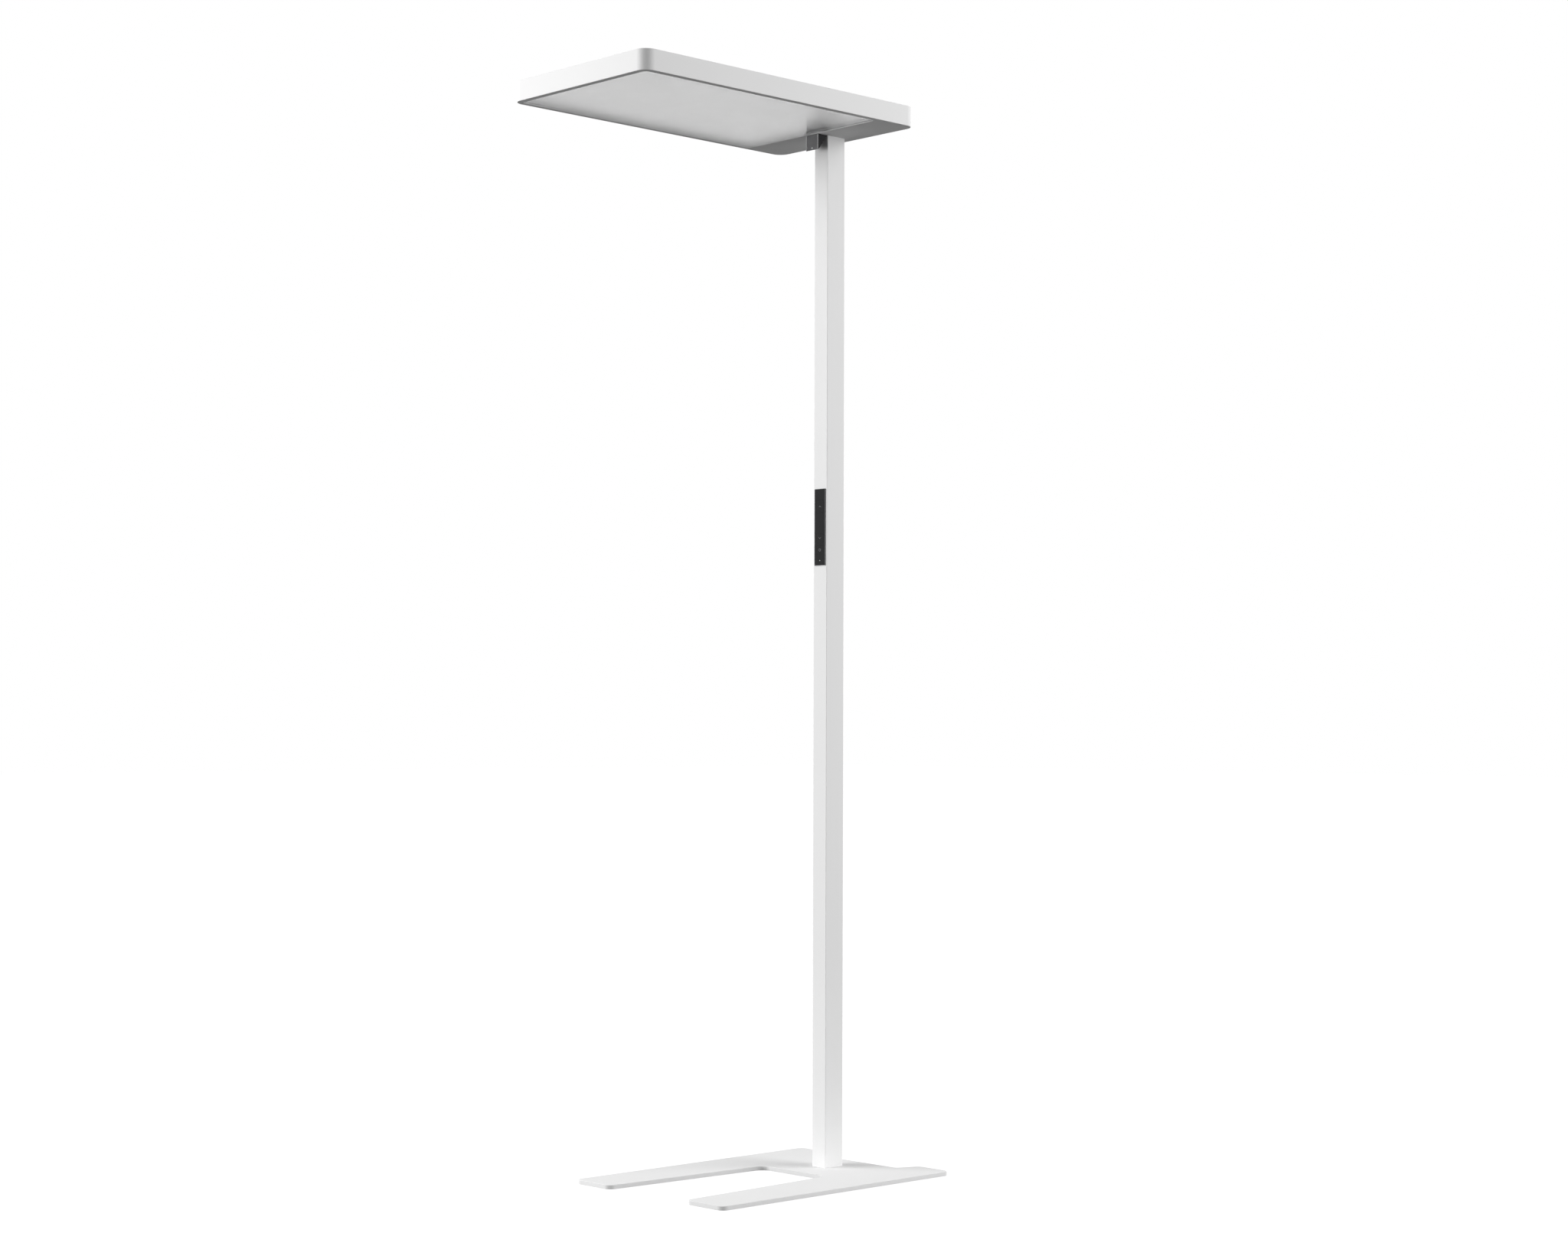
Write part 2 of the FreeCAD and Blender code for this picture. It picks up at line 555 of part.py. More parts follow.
def mast_nodes():
    """Make the mast with its openings and the block in its top."""
    mast = body("mast_profile")
    outer = rectangle(mast, "mast_outline", "XY_Plane", "mast_depth", "mast_width",
                      ("0", "0", BASE_TOP))
    height = f"({HEAD_BOTTOM} - {BASE_TOP})"
    pad(mast, outer, height)
    corner = ((read("mast_depth") / 2, read("mast_width") / 2),
              (-read("mast_depth") / 2, read("mast_width") / 2))
    dress(mast, "Fillet", "mast_corners", "Radius", "mast_corner_radius", upright_at(corner))
    hollow = rectangle(mast, "mast_hollow", "XY_Plane", "mast_depth - 2 * mast_wall",
                       "mast_width - 2 * mast_wall", ("0", "0", HEAD_BOTTOM))
    pocket(mast, hollow, height)
    panel = rectangle(mast, "panel_opening", "YZ_Plane", "panel_width - 2 * panel_lap",
                      "panel_height - 2 * panel_lap", ("0", PANEL_Z, f"-{MAST_FACE} + mast_wall"))
    pocket(mast, panel, "mast_wall")
    inlet = rectangle(mast, "inlet_opening", "YZ_Plane", "inlet_body_width + 2 * inlet_gap",
                      "inlet_body_height + 2 * inlet_gap", ("0", "inlet_height", MAST_FACE))
    pocket(mast, inlet, "mast_wall")
    for index, sign in enumerate(("-", "+")):
        spot = ("0", f"inlet_height {sign} inlet_screw_pitch / 2", MAST_FACE)
        sketch = attach(mast, f"inlet_screw_hole_{index}", "YZ_Plane", spot)
        sketch.addGeometry(Part.Circle(FreeCAD.Vector(), FreeCAD.Vector(0, 0, 1), 1), False)
        sketch.addConstraint(Sketcher.Constraint("Coincident", 0, 3, -1, 1))
        hold(sketch, "radius", "Radius", (0,), 1, "small_screw_radius + screw_gap")
        pocket(mast, sketch, "mast_wall")

    block = box("top_block_blank",
                ("(mast_depth - 2 * mast_wall - 2 * block_gap)",
                 "(mast_width - 2 * mast_wall - 2 * block_gap)", "top_block_height"),
                ("0", "0", f"{HEAD_BOTTOM} - top_block_height"))
    holes = [box("top_block_way", (WAY_LENGTH, "wire_way_width", "top_block_height"),
                 (WAY_X, "0", f"{HEAD_BOTTOM} - top_block_height"))]
    bolt_spots = four("top_bolt_x", "top_bolt_y")
    for index, (x, y) in enumerate(bolt_spots):
        holes.append(rod(f"top_thread_{index}", "top_bolt_radius + screw_gap",
                         "top_bolt_grip + thread_room", (x, y, HEAD_BOTTOM), "-z"))
    cut("mast_top_block", block, holes)
    seats = [(x, y, BRACKET_TOP) for x, y in bolt_spots]
    screws("mast_top_bolts", seats, "-z", "top_bolt_head_radius", "top_bolt_head",
           "top_bolt_radius", "(head_floor + bracket_thickness + top_bolt_grip)")

    plate = box("bracket_blank", ("bracket_length", "bracket_width", "bracket_thickness"),
                ("0", "0", FLOOR_TOP))
    openings = [box("bracket_way", (WAY_LENGTH, "wire_way_width", "bracket_thickness"),
                    (WAY_X, "0", FLOOR_TOP))]
    for index, (x, y) in enumerate(bolt_spots):
        openings.append(rod(f"bracket_hole_{index}", "top_bolt_radius + screw_gap",
                            "bracket_thickness", (x, y, FLOOR_TOP)))
    cut("head_bracket", plate, openings)


def boss_spots():
    """Return the corner boss places as expressions from the mast axis."""
    side = "(head_width / 2 - boss_inset)"
    return [(x, f"{sign}{side}")
            for x in ("-(head_reach - boss_inset)", "(head_back - boss_inset)")
            for sign in ("-", "")]


def head_nodes():
    """Make the head frame, the diffusers, the light tray and the top cover."""
    frame = body("head_frame")
    flat = rectangle(frame, "head_outline", "XY_Plane", HEAD_LENGTH, "head_width",
                     (HEAD_X, "0", HEAD_BOTTOM))
    pad(frame, flat, "head_height")
    front = -read("head_reach")
    back = read("head_back")
    half = read("head_width") / 2
    hollow = rectangle(frame, "head_hollow", "XY_Plane", f"{HEAD_LENGTH} - 2 * head_wall",
                       "head_width - 2 * head_wall", (HEAD_X, "0", "total_height"))
    pocket(frame, hollow, "head_height - head_floor")
    wall = read("head_wall")
    dress(frame, "Fillet", "head_hollow_corners", "Radius", "head_corner_radius - head_wall",
          upright_at(((front + wall, half - wall), (back - wall, half - wall))))
    dress(frame, "Fillet", "head_corners", "Radius", "head_corner_radius",
          upright_at(((front, half), (back, half))))
    top = read("total_height")
    dress(frame, "Chamfer", "head_edges", "Size", "head_edge",
          level_on((top - read("head_height"), top), (front, back, half)))
    window = rectangle(frame, "light_window", "XY_Plane", WINDOW_LENGTH, WINDOW_WIDTH,
                       (WINDOW_X, "0", FLOOR_TOP))
    pocket(frame, window, "head_floor")
    rim = read("rim_width")
    window_back = -read("window_back")
    dress(frame, "Fillet", "light_window_corners", "Radius", "window_corner_radius",
          upright_at(((front + rim, half - rim), (window_back, half - rim))))
    way = rectangle(frame, "head_wire_way", "XY_Plane", WAY_LENGTH, "wire_way_width",
                    (WAY_X, "0", FLOOR_TOP))
    pocket(frame, way, "head_floor")
    for hole in circles(frame, "head_bolt_hole", "top_bolt_radius + screw_gap",
                        four("top_bolt_x", "top_bolt_y"), FLOOR_TOP):
        pocket(frame, hole, "head_floor")
    sensor_spots = [("-sensor_screw_x", f"{sign}sensor_screw_y") for sign in ("-", "")]
    for hole in circles(frame, "sensor_screw_hole", "small_screw_radius + screw_gap",
                        sensor_spots, FLOOR_TOP):
        pocket(frame, hole, "head_floor")
    for boss in circles(frame, "cover_boss", "boss_radius", boss_spots(), FLOOR_TOP):
        pad(frame, boss, f"{COVER_BOTTOM} - {FLOOR_TOP}")
    for hole in circles(frame, "boss_hole", "small_screw_radius + screw_gap", boss_spots(),
                        COVER_BOTTOM):
        pocket(frame, hole, "small_screw_grip + thread_room")

    gap = read("window_gap")
    step = rounded_plate(
        "diffuser_step", f"{WINDOW_LENGTH} - 2 * window_gap", f"{WINDOW_WIDTH} - 2 * window_gap",
        WINDOW_X, HEAD_BOTTOM, "head_floor", "window_corner_radius - window_gap",
        ((front + rim + gap, half - rim - gap), (window_back - gap, half - rim - gap)))
    margin = read("flange_margin")
    flange_corners = ((front + rim - margin, half - rim + margin),
                      (window_back + margin, half - rim + margin))
    lip = rounded_plate(
        "diffuser_flange", FLANGE_LENGTH, FLANGE_WIDTH, WINDOW_X, FLOOR_TOP,
        "flange_thickness", "flange_corner_radius", flange_corners)
    fuse("downlight_diffuser", [step, lip])

    tray = body("light_tray")
    tray_outline = rectangle(tray, "tray_outline", "XY_Plane", FLANGE_LENGTH, FLANGE_WIDTH,
                             (WINDOW_X, "0", FLANGE_TOP))
    pad(tray, tray_outline, "tray_height")
    inside = rectangle(tray, "tray_hollow", "XY_Plane", f"{FLANGE_LENGTH} - 2 * tray_sheet",
                       f"{FLANGE_WIDTH} - 2 * tray_sheet",
                       (WINDOW_X, "0", f"{TRAY_TOP} - tray_sheet"))
    pocket(tray, inside, "tray_height - tray_sheet")
    sheet = read("tray_sheet")
    dress(tray, "Fillet", "tray_hollow_corners", "Radius",
          "flange_corner_radius - tray_sheet",
          upright_at([(x + sheet * (1 if x < window_back else -1), y - sheet)
                      for x, y in flange_corners]))
    dress(tray, "Fillet", "tray_corners", "Radius", "flange_corner_radius",
          upright_at(flange_corners))
    inset = sheet + read("light_panel_gap")
    rounded_plate(
        "light_panel", f"{FLANGE_LENGTH} - 2 * tray_sheet - 2 * light_panel_gap",
        f"{FLANGE_WIDTH} - 2 * tray_sheet - 2 * light_panel_gap", WINDOW_X,
        f"{CHIP_BOTTOM} - light_panel_thickness", "light_panel_thickness",
        "flange_corner_radius - tray_sheet - light_panel_gap",
        [(x + inset * (1 if x < window_back else -1), y - inset) for x, y in flange_corners])
    standoff_height = f"({COVER_BOTTOM} - {TRAY_TOP})"
    standoffs = []
    side = f"({FLANGE_WIDTH} / 2 - standoff_inset)"
    reach = f"({FLANGE_LENGTH} / 2 - standoff_inset)"
    for index, x in enumerate((f"{WINDOW_X} - {reach}", WINDOW_X, f"{WINDOW_X} + {reach}")):
        for name, sign in (("left", "-"), ("right", "")):
            standoffs.append(rod(f"standoff_{index}_{name}", "standoff_radius", standoff_height,
                                 (x, f"{sign}{side}", TRAY_TOP)))
    group("cover_standoffs", standoffs)

    cover_gap = wall + read("cover_gap")
    cover = rounded_plate(
        "top_cover", f"{HEAD_LENGTH} - 2 * head_wall - 2 * cover_gap",
        "head_width - 2 * head_wall - 2 * cover_gap", HEAD_X, COVER_BOTTOM, "cover_thickness",
        "head_corner_radius - head_wall - cover_gap",
        ((front + cover_gap, half - cover_gap), (back - cover_gap, half - cover_gap)))
    upper = rectangle(cover, "uplight_window", "XY_Plane", UPLIGHT_LENGTH, UPLIGHT_WIDTH,
                      (WINDOW_X, "0", "total_height"))
    pocket(cover, upper, "cover_thickness")
    ends = (front + rim + read("uplight_end"), window_back - read("uplight_end"))
    upper_side = half - rim - read("uplight_side")
    dress(cover, "Fillet", "uplight_window_corners", "Radius", "window_corner_radius",
          upright_at([(x, upper_side) for x in ends]))
    for hole in circles(cover, "cover_screw_hole", "small_screw_radius + screw_gap",
                        boss_spots(), "total_height"):
        pocket(cover, hole, "cover_thickness")
    for hole in circles(cover, "cover_screw_recess", "small_screw_head_radius + screw_gap",
                        boss_spots(), "total_height"):
        pocket(cover, hole, "small_screw_head")
    screws("cover_screws", [(x, y, "total_height - small_screw_head") for x, y in boss_spots()],
           "-z", "small_screw_head_radius", "small_screw_head", "small_screw_radius",
           "(cover_thickness - small_screw_head + small_screw_grip)")

    upper_step = rounded_plate(
        "uplight_step", f"{UPLIGHT_LENGTH} - 2 * window_gap", f"{UPLIGHT_WIDTH} - 2 * window_gap",
        WINDOW_X, COVER_BOTTOM, "cover_thickness", "window_corner_radius - window_gap",
        ((ends[0] + gap, upper_side - gap), (ends[1] - gap, upper_side - gap)))
    upper_lip = rounded_plate(
        "uplight_flange", f"{UPLIGHT_LENGTH} + 2 * flange_margin",
        f"{UPLIGHT_WIDTH} + 2 * flange_margin", WINDOW_X, f"{COVER_BOTTOM} - flange_thickness",
        "flange_thickness", "window_corner_radius + flange_margin",
        ((ends[0] - margin, upper_side + margin), (ends[1] + margin, upper_side + margin)))
    fuse("uplight_diffuser", [upper_step, upper_lip])


DOWN_ROWS = 5
UP_ROWS = 3
CHIPS_PER_ROW = 8


def strip_nodes(prefix, rows, side, board_bottom, chip_bottom):
    """Make one layer of light strips with their chips."""
    length = f"({FLANGE_LENGTH} - 2 * strip_margin)"
    boards = []
    chips = []
    for row in range(rows):
        y = f"({row / (rows - 1)} - 0.5) * ({FLANGE_WIDTH} - 2 * {side})"
        boards.append(box(f"{prefix}_board_{row}", (length, "strip_width", "board_thickness"),
                          (WINDOW_X, y, board_bottom)))
        for column in range(CHIPS_PER_ROW):
            x = f"({WINDOW_X} + {length} * ({column + 0.5} / {CHIPS_PER_ROW} - 0.5))"
            chips.append(box(f"{prefix}_chip_{row}_{column}",
                             ("chip_side", "chip_side", "chip_height"), (x, y, chip_bottom)))
    group(f"{prefix}_boards", boards)
    group(f"{prefix}_chips", chips)


def light_nodes():
    """Make the light strips, the driver, the dimmer module and their connectors."""
    strip_nodes("downlight", DOWN_ROWS, "downlight_side",
                f"{TRAY_TOP} - tray_sheet - board_thickness", CHIP_BOTTOM)
    strip_nodes("uplight", UP_ROWS, "uplight_strip_side", TRAY_TOP,
                f"{TRAY_TOP} + board_thickness")
    length = "(driver_front + driver_back)"
    middle = "((driver_back - driver_front) / 2)"
    box("driver_pad", (length, "driver_width", "pad_thickness"), (middle, DRIVER_Y, FLOOR_TOP))
    box("light_driver", (length, "driver_width", "driver_height"),
        (middle, DRIVER_Y, f"{FLOOR_TOP} + pad_thickness"))
    box("dimmer_module", (length, "driver_width", "dimmer_module_height"),
        (middle, f"-{DRIVER_Y}", FLOOR_TOP))
    back = "(-(window_back - flange_margin))"
    gap_length = f"(-driver_front - {back})"
    connectors = [
        box(f"light_connector_{name}", (gap_length, "connector_width", "connector_height"),
            (f"({back} - driver_front) / 2", f"{sign}{DRIVER_Y}",
             f"{FLANGE_TOP} + board_thickness"))
        for name, sign in (("driver", ""), ("dimmer", "-"))
    ]
    group("light_connectors", connectors)


def sensor_nodes():
    """Make the presence and light sensor that hangs under the head beside the mast."""
    housing = body("sensor_prism")
    sketch = attach(housing, "sensor_profile", "XZ_Plane", ("0", "0", "-sensor_width / 2"))
    face = -read("mast_depth") / 2
    under = read("total_height") - read("head_height")
    inner = face - read("sensor_depth") + read("sensor_cover_thickness")
    drop = read("sensor_height")
    outline(sketch, ((face, under), (inner, under), (inner, under - drop)))
    sketch.addConstraint(Sketcher.Constraint("Horizontal", 0))
    sketch.addConstraint(Sketcher.Constraint("Vertical", 1))
    hold(sketch, "back", "DistanceX", (0, 1, -1, 1), -face, MAST_FACE)
    hold(sketch, "front", "DistanceX", (0, 2, -1, 1), -inner, f"-({SENSOR_INNER})")
    hold(sketch, "level", "DistanceY", (-1, 1, 0, 1), under, HEAD_BOTTOM)
    hold(sketch, "drop", "DistanceY", (1, 2, 1, 1), drop, "sensor_height")
    pad(housing, sketch, "sensor_width")
    cavity_width = "sensor_width - 2 * sensor_cavity_wall"
    cavity = box("sensor_cavity", ("sensor_cavity_depth", cavity_width, "sensor_cavity_height"),
                 (f"{SENSOR_INNER} + sensor_cavity_depth / 2", "0",
                  f"{CAVITY_Z} - sensor_cavity_height / 2"))
    spots = [("-sensor_screw_x", f"{sign}sensor_screw_y") for sign in ("-", "")]
    pilots = [rod(f"sensor_pilot_{index}", "small_screw_radius + screw_gap",
                  "small_screw_grip + pilot_room", (x, y, HEAD_BOTTOM), "-z")
              for index, (x, y) in enumerate(spots)]
    cut("sensor_housing", housing, [cavity, *pilots])
    screws("sensor_screws", [(x, y, FLOOR_TOP) for x, y in spots], "-z",
           "small_screw_head_radius", "small_screw_head", "small_screw_radius",
           "(head_floor + small_screw_grip)")
    box("sensor_window", ("sensor_cover_thickness", "sensor_width", "sensor_height"),
        (f"{SENSOR_FRONT} + sensor_cover_thickness / 2", "0", f"{HEAD_BOTTOM} - sensor_height"))
    box("sensor_board",
        ("board_thickness", f"{cavity_width} - 2 * sensor_board_gap",
         "sensor_cavity_height - 2 * sensor_board_gap"),
        (f"{CAVITY_BACK} - board_thickness / 2", "0",
         f"{CAVITY_Z} - sensor_cavity_height / 2 + sensor_board_gap"))
    board_front = f"({CAVITY_BACK} - board_thickness)"
    rod("presence_sensor", "sensor_can_radius", "sensor_can_length", (board_front, "0", CAVITY_Z),
        "-x")
    box("light_sensor", ("light_cell_side", "light_cell_side", "light_cell_side"),
        (f"{board_front} - light_cell_side / 2", "light_cell_place",
         f"{CAVITY_Z} - light_cell_side / 2"))


KEYS = ("brighter", "dimmer", "power")


def key_z(key):
    """Return the height of a key's middle."""
    return f"(panel_bottom + {key}_place)"


def panel_nodes():
    """Make the control panel, its keys and the switches behind them."""
    panel = body("control_panel")
    flat = rectangle(panel, "panel_outline", "YZ_Plane", "panel_width", "panel_height",
                     ("0", PANEL_Z, f"-{MAST_FACE} - panel_proud"))
    pad(panel, flat, "panel_proud")
    dress(panel, "Fillet", "panel_corners", "Radius", "panel_corner_radius",
          lambda edge: edge.BoundBox.XLength > read("panel_proud") / 2)
    for key in KEYS:
        opening = rectangle(panel, f"{key}_opening", "YZ_Plane", "key_width + 2 * key_gap",
                            f"{key}_height + 2 * key_gap", ("0", key_z(key), f"-{MAST_FACE}"))
        pocket(panel, opening, "panel_proud")
    sketch = attach(panel, "indicator_opening", "YZ_Plane",
                    ("0", "panel_bottom + indicator_place", f"-{MAST_FACE}"))
    sketch.addGeometry(Part.Circle(FreeCAD.Vector(), FreeCAD.Vector(0, 0, 1), 1), False)
    sketch.addConstraint(Sketcher.Constraint("Coincident", 0, 3, -1, 1))
    hold(sketch, "radius", "Radius", (0,), 1, "indicator_radius + plunger_gap")
    pocket(panel, sketch, "panel_proud")

    shell = box("tub_blank", ("tub_depth", TUB_WIDTH, TUB_HEIGHT),
                (f"-{MAST_FACE} + tub_depth / 2", "0", f"{PANEL_Z} - {TUB_HEIGHT} / 2"))
    board_back = f"({CONTROL_BOARD_X} + board_thickness)"
    hollow = box("tub_hollow",
                 (f"{board_back} + {MAST_FACE}", f"{TUB_WIDTH} - 2 * tub_wall",
                  f"{TUB_HEIGHT} - 2 * tub_wall"),
                 (f"({board_back} - {MAST_FACE}) / 2", "0",
                  f"{PANEL_Z} - {TUB_HEIGHT} / 2 + tub_wall"))
    cut("control_tub", shell, [hollow])
    board_width = f"({TUB_WIDTH} - 2 * tub_wall - 2 * control_board_gap)"
    board_height = f"({TUB_HEIGHT} - 2 * tub_wall - 2 * control_board_gap)"
    box("control_board", ("board_thickness", board_width, board_height),
        (f"{CONTROL_BOARD_X} + board_thickness / 2", "0", f"{PANEL_Z} - {board_height} / 2"))
    rod("indicator_light", "indicator_radius", f"{CONTROL_BOARD_X} + {MAST_FACE} + panel_proud",
        (f"-{MAST_FACE} - panel_proud", "0", "panel_bottom + indicator_place"), "+x")

    cans = []
    for key in KEYS:
        middle = key_z(key)
        can = box(f"{key}_can_blank", ("switch_height", "switch_side", "switch_side"),
                  (f"{SWITCH_FRONT} + switch_height / 2", "0", f"{middle} - switch_side / 2"))
        bore = rod(f"{key}_can_bore", "plunger_radius + plunger_gap",
                   "plunger_reach + key_travel + plunger_end_gap", (SWITCH_FRONT, "0", middle),
                   "+x")
        cans.append(cut(f"{key}_can", can, [bore]))
        cap = box(f"{key}_cap", ("panel_proud + key_play", "key_width", f"{key}_height"),
                  (f"-{MAST_FACE} + (key_play - panel_proud) / 2", "0",
                   f"{middle} - {key}_height / 2"))
        flange = box(f"{key}_flange",
                     ("key_flange", "key_width + 2 * key_lip", f"{key}_height + 2 * key_lip"),
                     (f"{FLANGE_FRONT} + key_flange / 2", "0",
                      f"{middle} - {key}_height / 2 - key_lip"))
        fuse(f"key_{key}", [cap, flange])
        rod(f"plunger_{key}", "plunger_radius", "key_travel + switch_gap + plunger_reach",
            (FLANGE_BACK, "0", middle), "+x")
    group("switch_cans", cans)


def inlet_nodes():
    """Make the mains inlet in the back of the mast, with its pins and screws."""
    middle = "inlet_height"
    shell = box("inlet_shell", ("inlet_body_depth", "inlet_body_width", "inlet_body_height"),
                (f"{MAST_FACE} - inlet_body_depth / 2", "0", f"{middle} - inlet_body_height / 2"))
    flange = box("inlet_flange",
                 ("inlet_flange_thickness", "inlet_flange_width", "inlet_flange_height"),
                 (f"{MAST_FACE} + inlet_flange_thickness / 2", "0",
                  f"{middle} - inlet_flange_height / 2"))
    blank = fuse("inlet_blank", [shell, flange])
    depth = "(inlet_body_depth + inlet_flange_thickness - inlet_wall)"
    socket = box("inlet_socket",
                 (depth, "inlet_body_width - 2 * inlet_wall", "inlet_body_height - 2 * inlet_wall"),
                 (f"{MAST_FACE} + inlet_flange_thickness - {depth} / 2", "0",
                  f"{middle} - inlet_body_height / 2 + inlet_wall"))
    outside = f"({MAST_FACE} + inlet_flange_thickness)"
    seats = [(outside, "0", f"({middle} {sign} inlet_screw_pitch / 2)") for sign in ("-", "+")]
    holes = [rod(f"inlet_ear_{index}", "small_screw_radius + screw_gap", "inlet_flange_thickness",
                 seat, "-x") for index, seat in enumerate(seats)]
    cut("mains_inlet", blank, [socket, *holes])
    screws("inlet_screws", seats, "-x", "small_screw_head_radius", "small_screw_head",
           "small_screw_radius", "(inlet_flange_thickness + small_screw_grip)")
    back = f"({INLET_BACK} + inlet_wall)"
    pins = [box(f"inlet_pin_{index}", ("pin_length", "pin_thickness", "pin_width"),
                (f"{back} + pin_length / 2", "-pin_offset",
                 f"{middle} + ({index - 1}) * pin_pitch - pin_width / 2"))
            for index in range(3)]
    group("inlet_pins", pins)


def lead_nodes():
    """Make the cables that run inside the mast into the head."""
    face = read("mast_depth") / 2
    bracket_top = (read("total_height") - read("head_height") + read("head_floor")
                   + read("bracket_thickness"))
    side = (read("head_width") / 2 - read("head_wall") - read("driver_side_gap")
            - read("driver_width"))
    bend = read("mains_lead_bend")
    start_x = face - read("inlet_body_depth")
    up_x = start_x - read("lead_start") - bend
    low = read("inlet_height")
    high = bracket_top + bend
    lead("mains_lead", ((start_x, 0, low), (up_x, 0, low), (up_x, 0, high), (up_x, side, high)),
         bend, read("mains_lead_radius"))
    bend = read("control_lead_bend")
    start_x = -face + read("tub_depth")
    up_x = start_x + read("lead_start") + bend
    low = read("panel_bottom") + read("control_lead_place")
    high = bracket_top + bend
    y = read("control_lead_y")
    lead("control_lead", ((start_x, y, low), (up_x, y, low), (up_x, y, high), (up_x, -side, high)),
         bend, read("control_lead_radius"))


NODES = (
    "base_plate", "base_glides", "mast_foot_block", "mast_foot_bolts",
    "mast_profile", "mast_top_block", "mast_top_bolts", "head_bracket",
    "head_frame", "downlight_diffuser", "light_tray", "light_panel", "cover_standoffs",
    "top_cover", "cover_screws", "uplight_diffuser",
    "downlight_boards", "downlight_chips", "uplight_boards", "uplight_chips",
    "driver_pad", "light_driver", "dimmer_module", "light_connectors",
    "sensor_housing", "sensor_window", "sensor_screws", "sensor_board",
    "presence_sensor", "light_sensor",
    "control_panel", "control_tub", "control_board", "indicator_light", "switch_cans",
    "key_brighter", "key_dimmer", "key_power",
    "plunger_brighter", "plunger_dimmer", "plunger_power",
    "mains_inlet", "inlet_screws", "inlet_pins", "mains_lead", "control_lead",
)


def main():
    """Build every sub-part, check it and write it out."""
    base_nodes()
    mast_nodes()
    head_nodes()
    light_nodes()
    sensor_nodes()
    panel_nodes()
    inlet_nodes()
    lead_nodes()
    DOC.recompute()
    for item in DOC.Objects:
        state = [word for word in item.State if word in ("Invalid", "Error")]
        assert not state, f"{item.Name} is {state}"
    whole = FreeCAD.BoundBox()
    for name in NODES:
        node = DOC.getObject(name)
        node.Label = name
        shape = node.Shape
        assert not shape.isNull() and shape.isValid(), f"{name} isn't a sound shape"
        shape.exportStep(f"parts/{node.Label}.step")
        whole.add(shape.BoundBox)
        print(f"{node.Label}: {len(shape.Solids)} solids, {shape.Volume:.1f} mm3")
    print(f"box {whole.XMin:.2f} {whole.YMin:.2f} {whole.ZMin:.2f}"
          f" to {whole.XMax:.2f} {whole.YMax:.2f} {whole.ZMax:.2f}")


main()
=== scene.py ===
import json
import math

import bmesh
import bpy
from mathutils import Matrix, Vector


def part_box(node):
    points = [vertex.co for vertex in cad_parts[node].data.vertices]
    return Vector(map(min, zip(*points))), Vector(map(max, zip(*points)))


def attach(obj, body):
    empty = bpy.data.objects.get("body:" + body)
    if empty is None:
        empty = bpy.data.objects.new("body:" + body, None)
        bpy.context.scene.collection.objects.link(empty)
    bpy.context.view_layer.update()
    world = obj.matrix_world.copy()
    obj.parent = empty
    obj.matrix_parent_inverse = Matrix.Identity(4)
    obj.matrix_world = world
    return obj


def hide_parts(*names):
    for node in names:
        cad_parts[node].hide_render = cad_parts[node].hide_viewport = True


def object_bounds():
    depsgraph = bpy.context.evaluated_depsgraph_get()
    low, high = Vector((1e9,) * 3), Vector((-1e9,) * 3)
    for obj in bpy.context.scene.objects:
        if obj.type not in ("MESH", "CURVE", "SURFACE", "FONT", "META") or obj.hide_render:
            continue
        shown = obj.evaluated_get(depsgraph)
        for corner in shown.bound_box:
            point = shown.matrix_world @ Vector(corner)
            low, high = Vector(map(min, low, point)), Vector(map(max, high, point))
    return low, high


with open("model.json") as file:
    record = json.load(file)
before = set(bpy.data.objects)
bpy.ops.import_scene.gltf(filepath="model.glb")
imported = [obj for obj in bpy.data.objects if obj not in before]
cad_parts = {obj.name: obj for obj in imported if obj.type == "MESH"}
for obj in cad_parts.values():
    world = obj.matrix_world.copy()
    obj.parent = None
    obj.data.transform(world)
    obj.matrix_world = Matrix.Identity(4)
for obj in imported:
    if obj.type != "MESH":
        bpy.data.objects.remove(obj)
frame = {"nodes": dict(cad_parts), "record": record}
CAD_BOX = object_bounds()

bl_info = {
    "name": "Office floor lamp",
    "version": (1, 0, 0),
    "blender": (4, 5, 0),
    "location": "View3D > Sidebar > Floor Lamp",
    "description": "Finishes, fine pieces and studio for an office floor lamp",
    "category": "Object",
}

MM = 0.001
ROUND_SIDES = 24
CAMERA_FILM = 36.0
FLOOR_LEVEL = -0.2 * MM
# Noise textures stay mostly between these two values
NOISE_LOW = 0.3
NOISE_HIGH = 0.7
# A wave texture of scale 1 repeats at this distance
WAVE_LENGTH = 2 * math.pi / 20


# Sizes and colours that a user may change

class FloorLampFinish(bpy.types.PropertyGroup):
    """Colours and surface detail of the lamp"""

    paint: bpy.props.FloatVectorProperty(
        name="Paint", description="White powder coat of the base, mast and head",
        subtype="COLOR", size=3, default=(0.86, 0.86, 0.86), min=0.0, max=1.0)
    paint_roughness: bpy.props.FloatProperty(
        name="Paint roughness", description="Satin of the powder coat",
        subtype="FACTOR", default=0.36, min=0.0, max=1.0)
    paint_shine: bpy.props.FloatProperty(
        name="Paint shine", description="How much the satin coat mirrors",
        subtype="FACTOR", default=0.0, min=0.0, max=1.0)
    paint_grain: bpy.props.FloatProperty(
        name="Paint grain", description="Width of the powder coat's fine bumps",
        unit="LENGTH", default=0.9 * MM)
    panel_glow: bpy.props.FloatProperty(
        name="Panel glow", description="Brightness of the lit opal panel in the head",
        default=0.09, min=0.0)
    mark: bpy.props.FloatVectorProperty(
        name="Key marks", description="Faint marks on the keys",
        subtype="COLOR", size=3, default=(0.16, 0.16, 0.17), min=0.0, max=1.0)


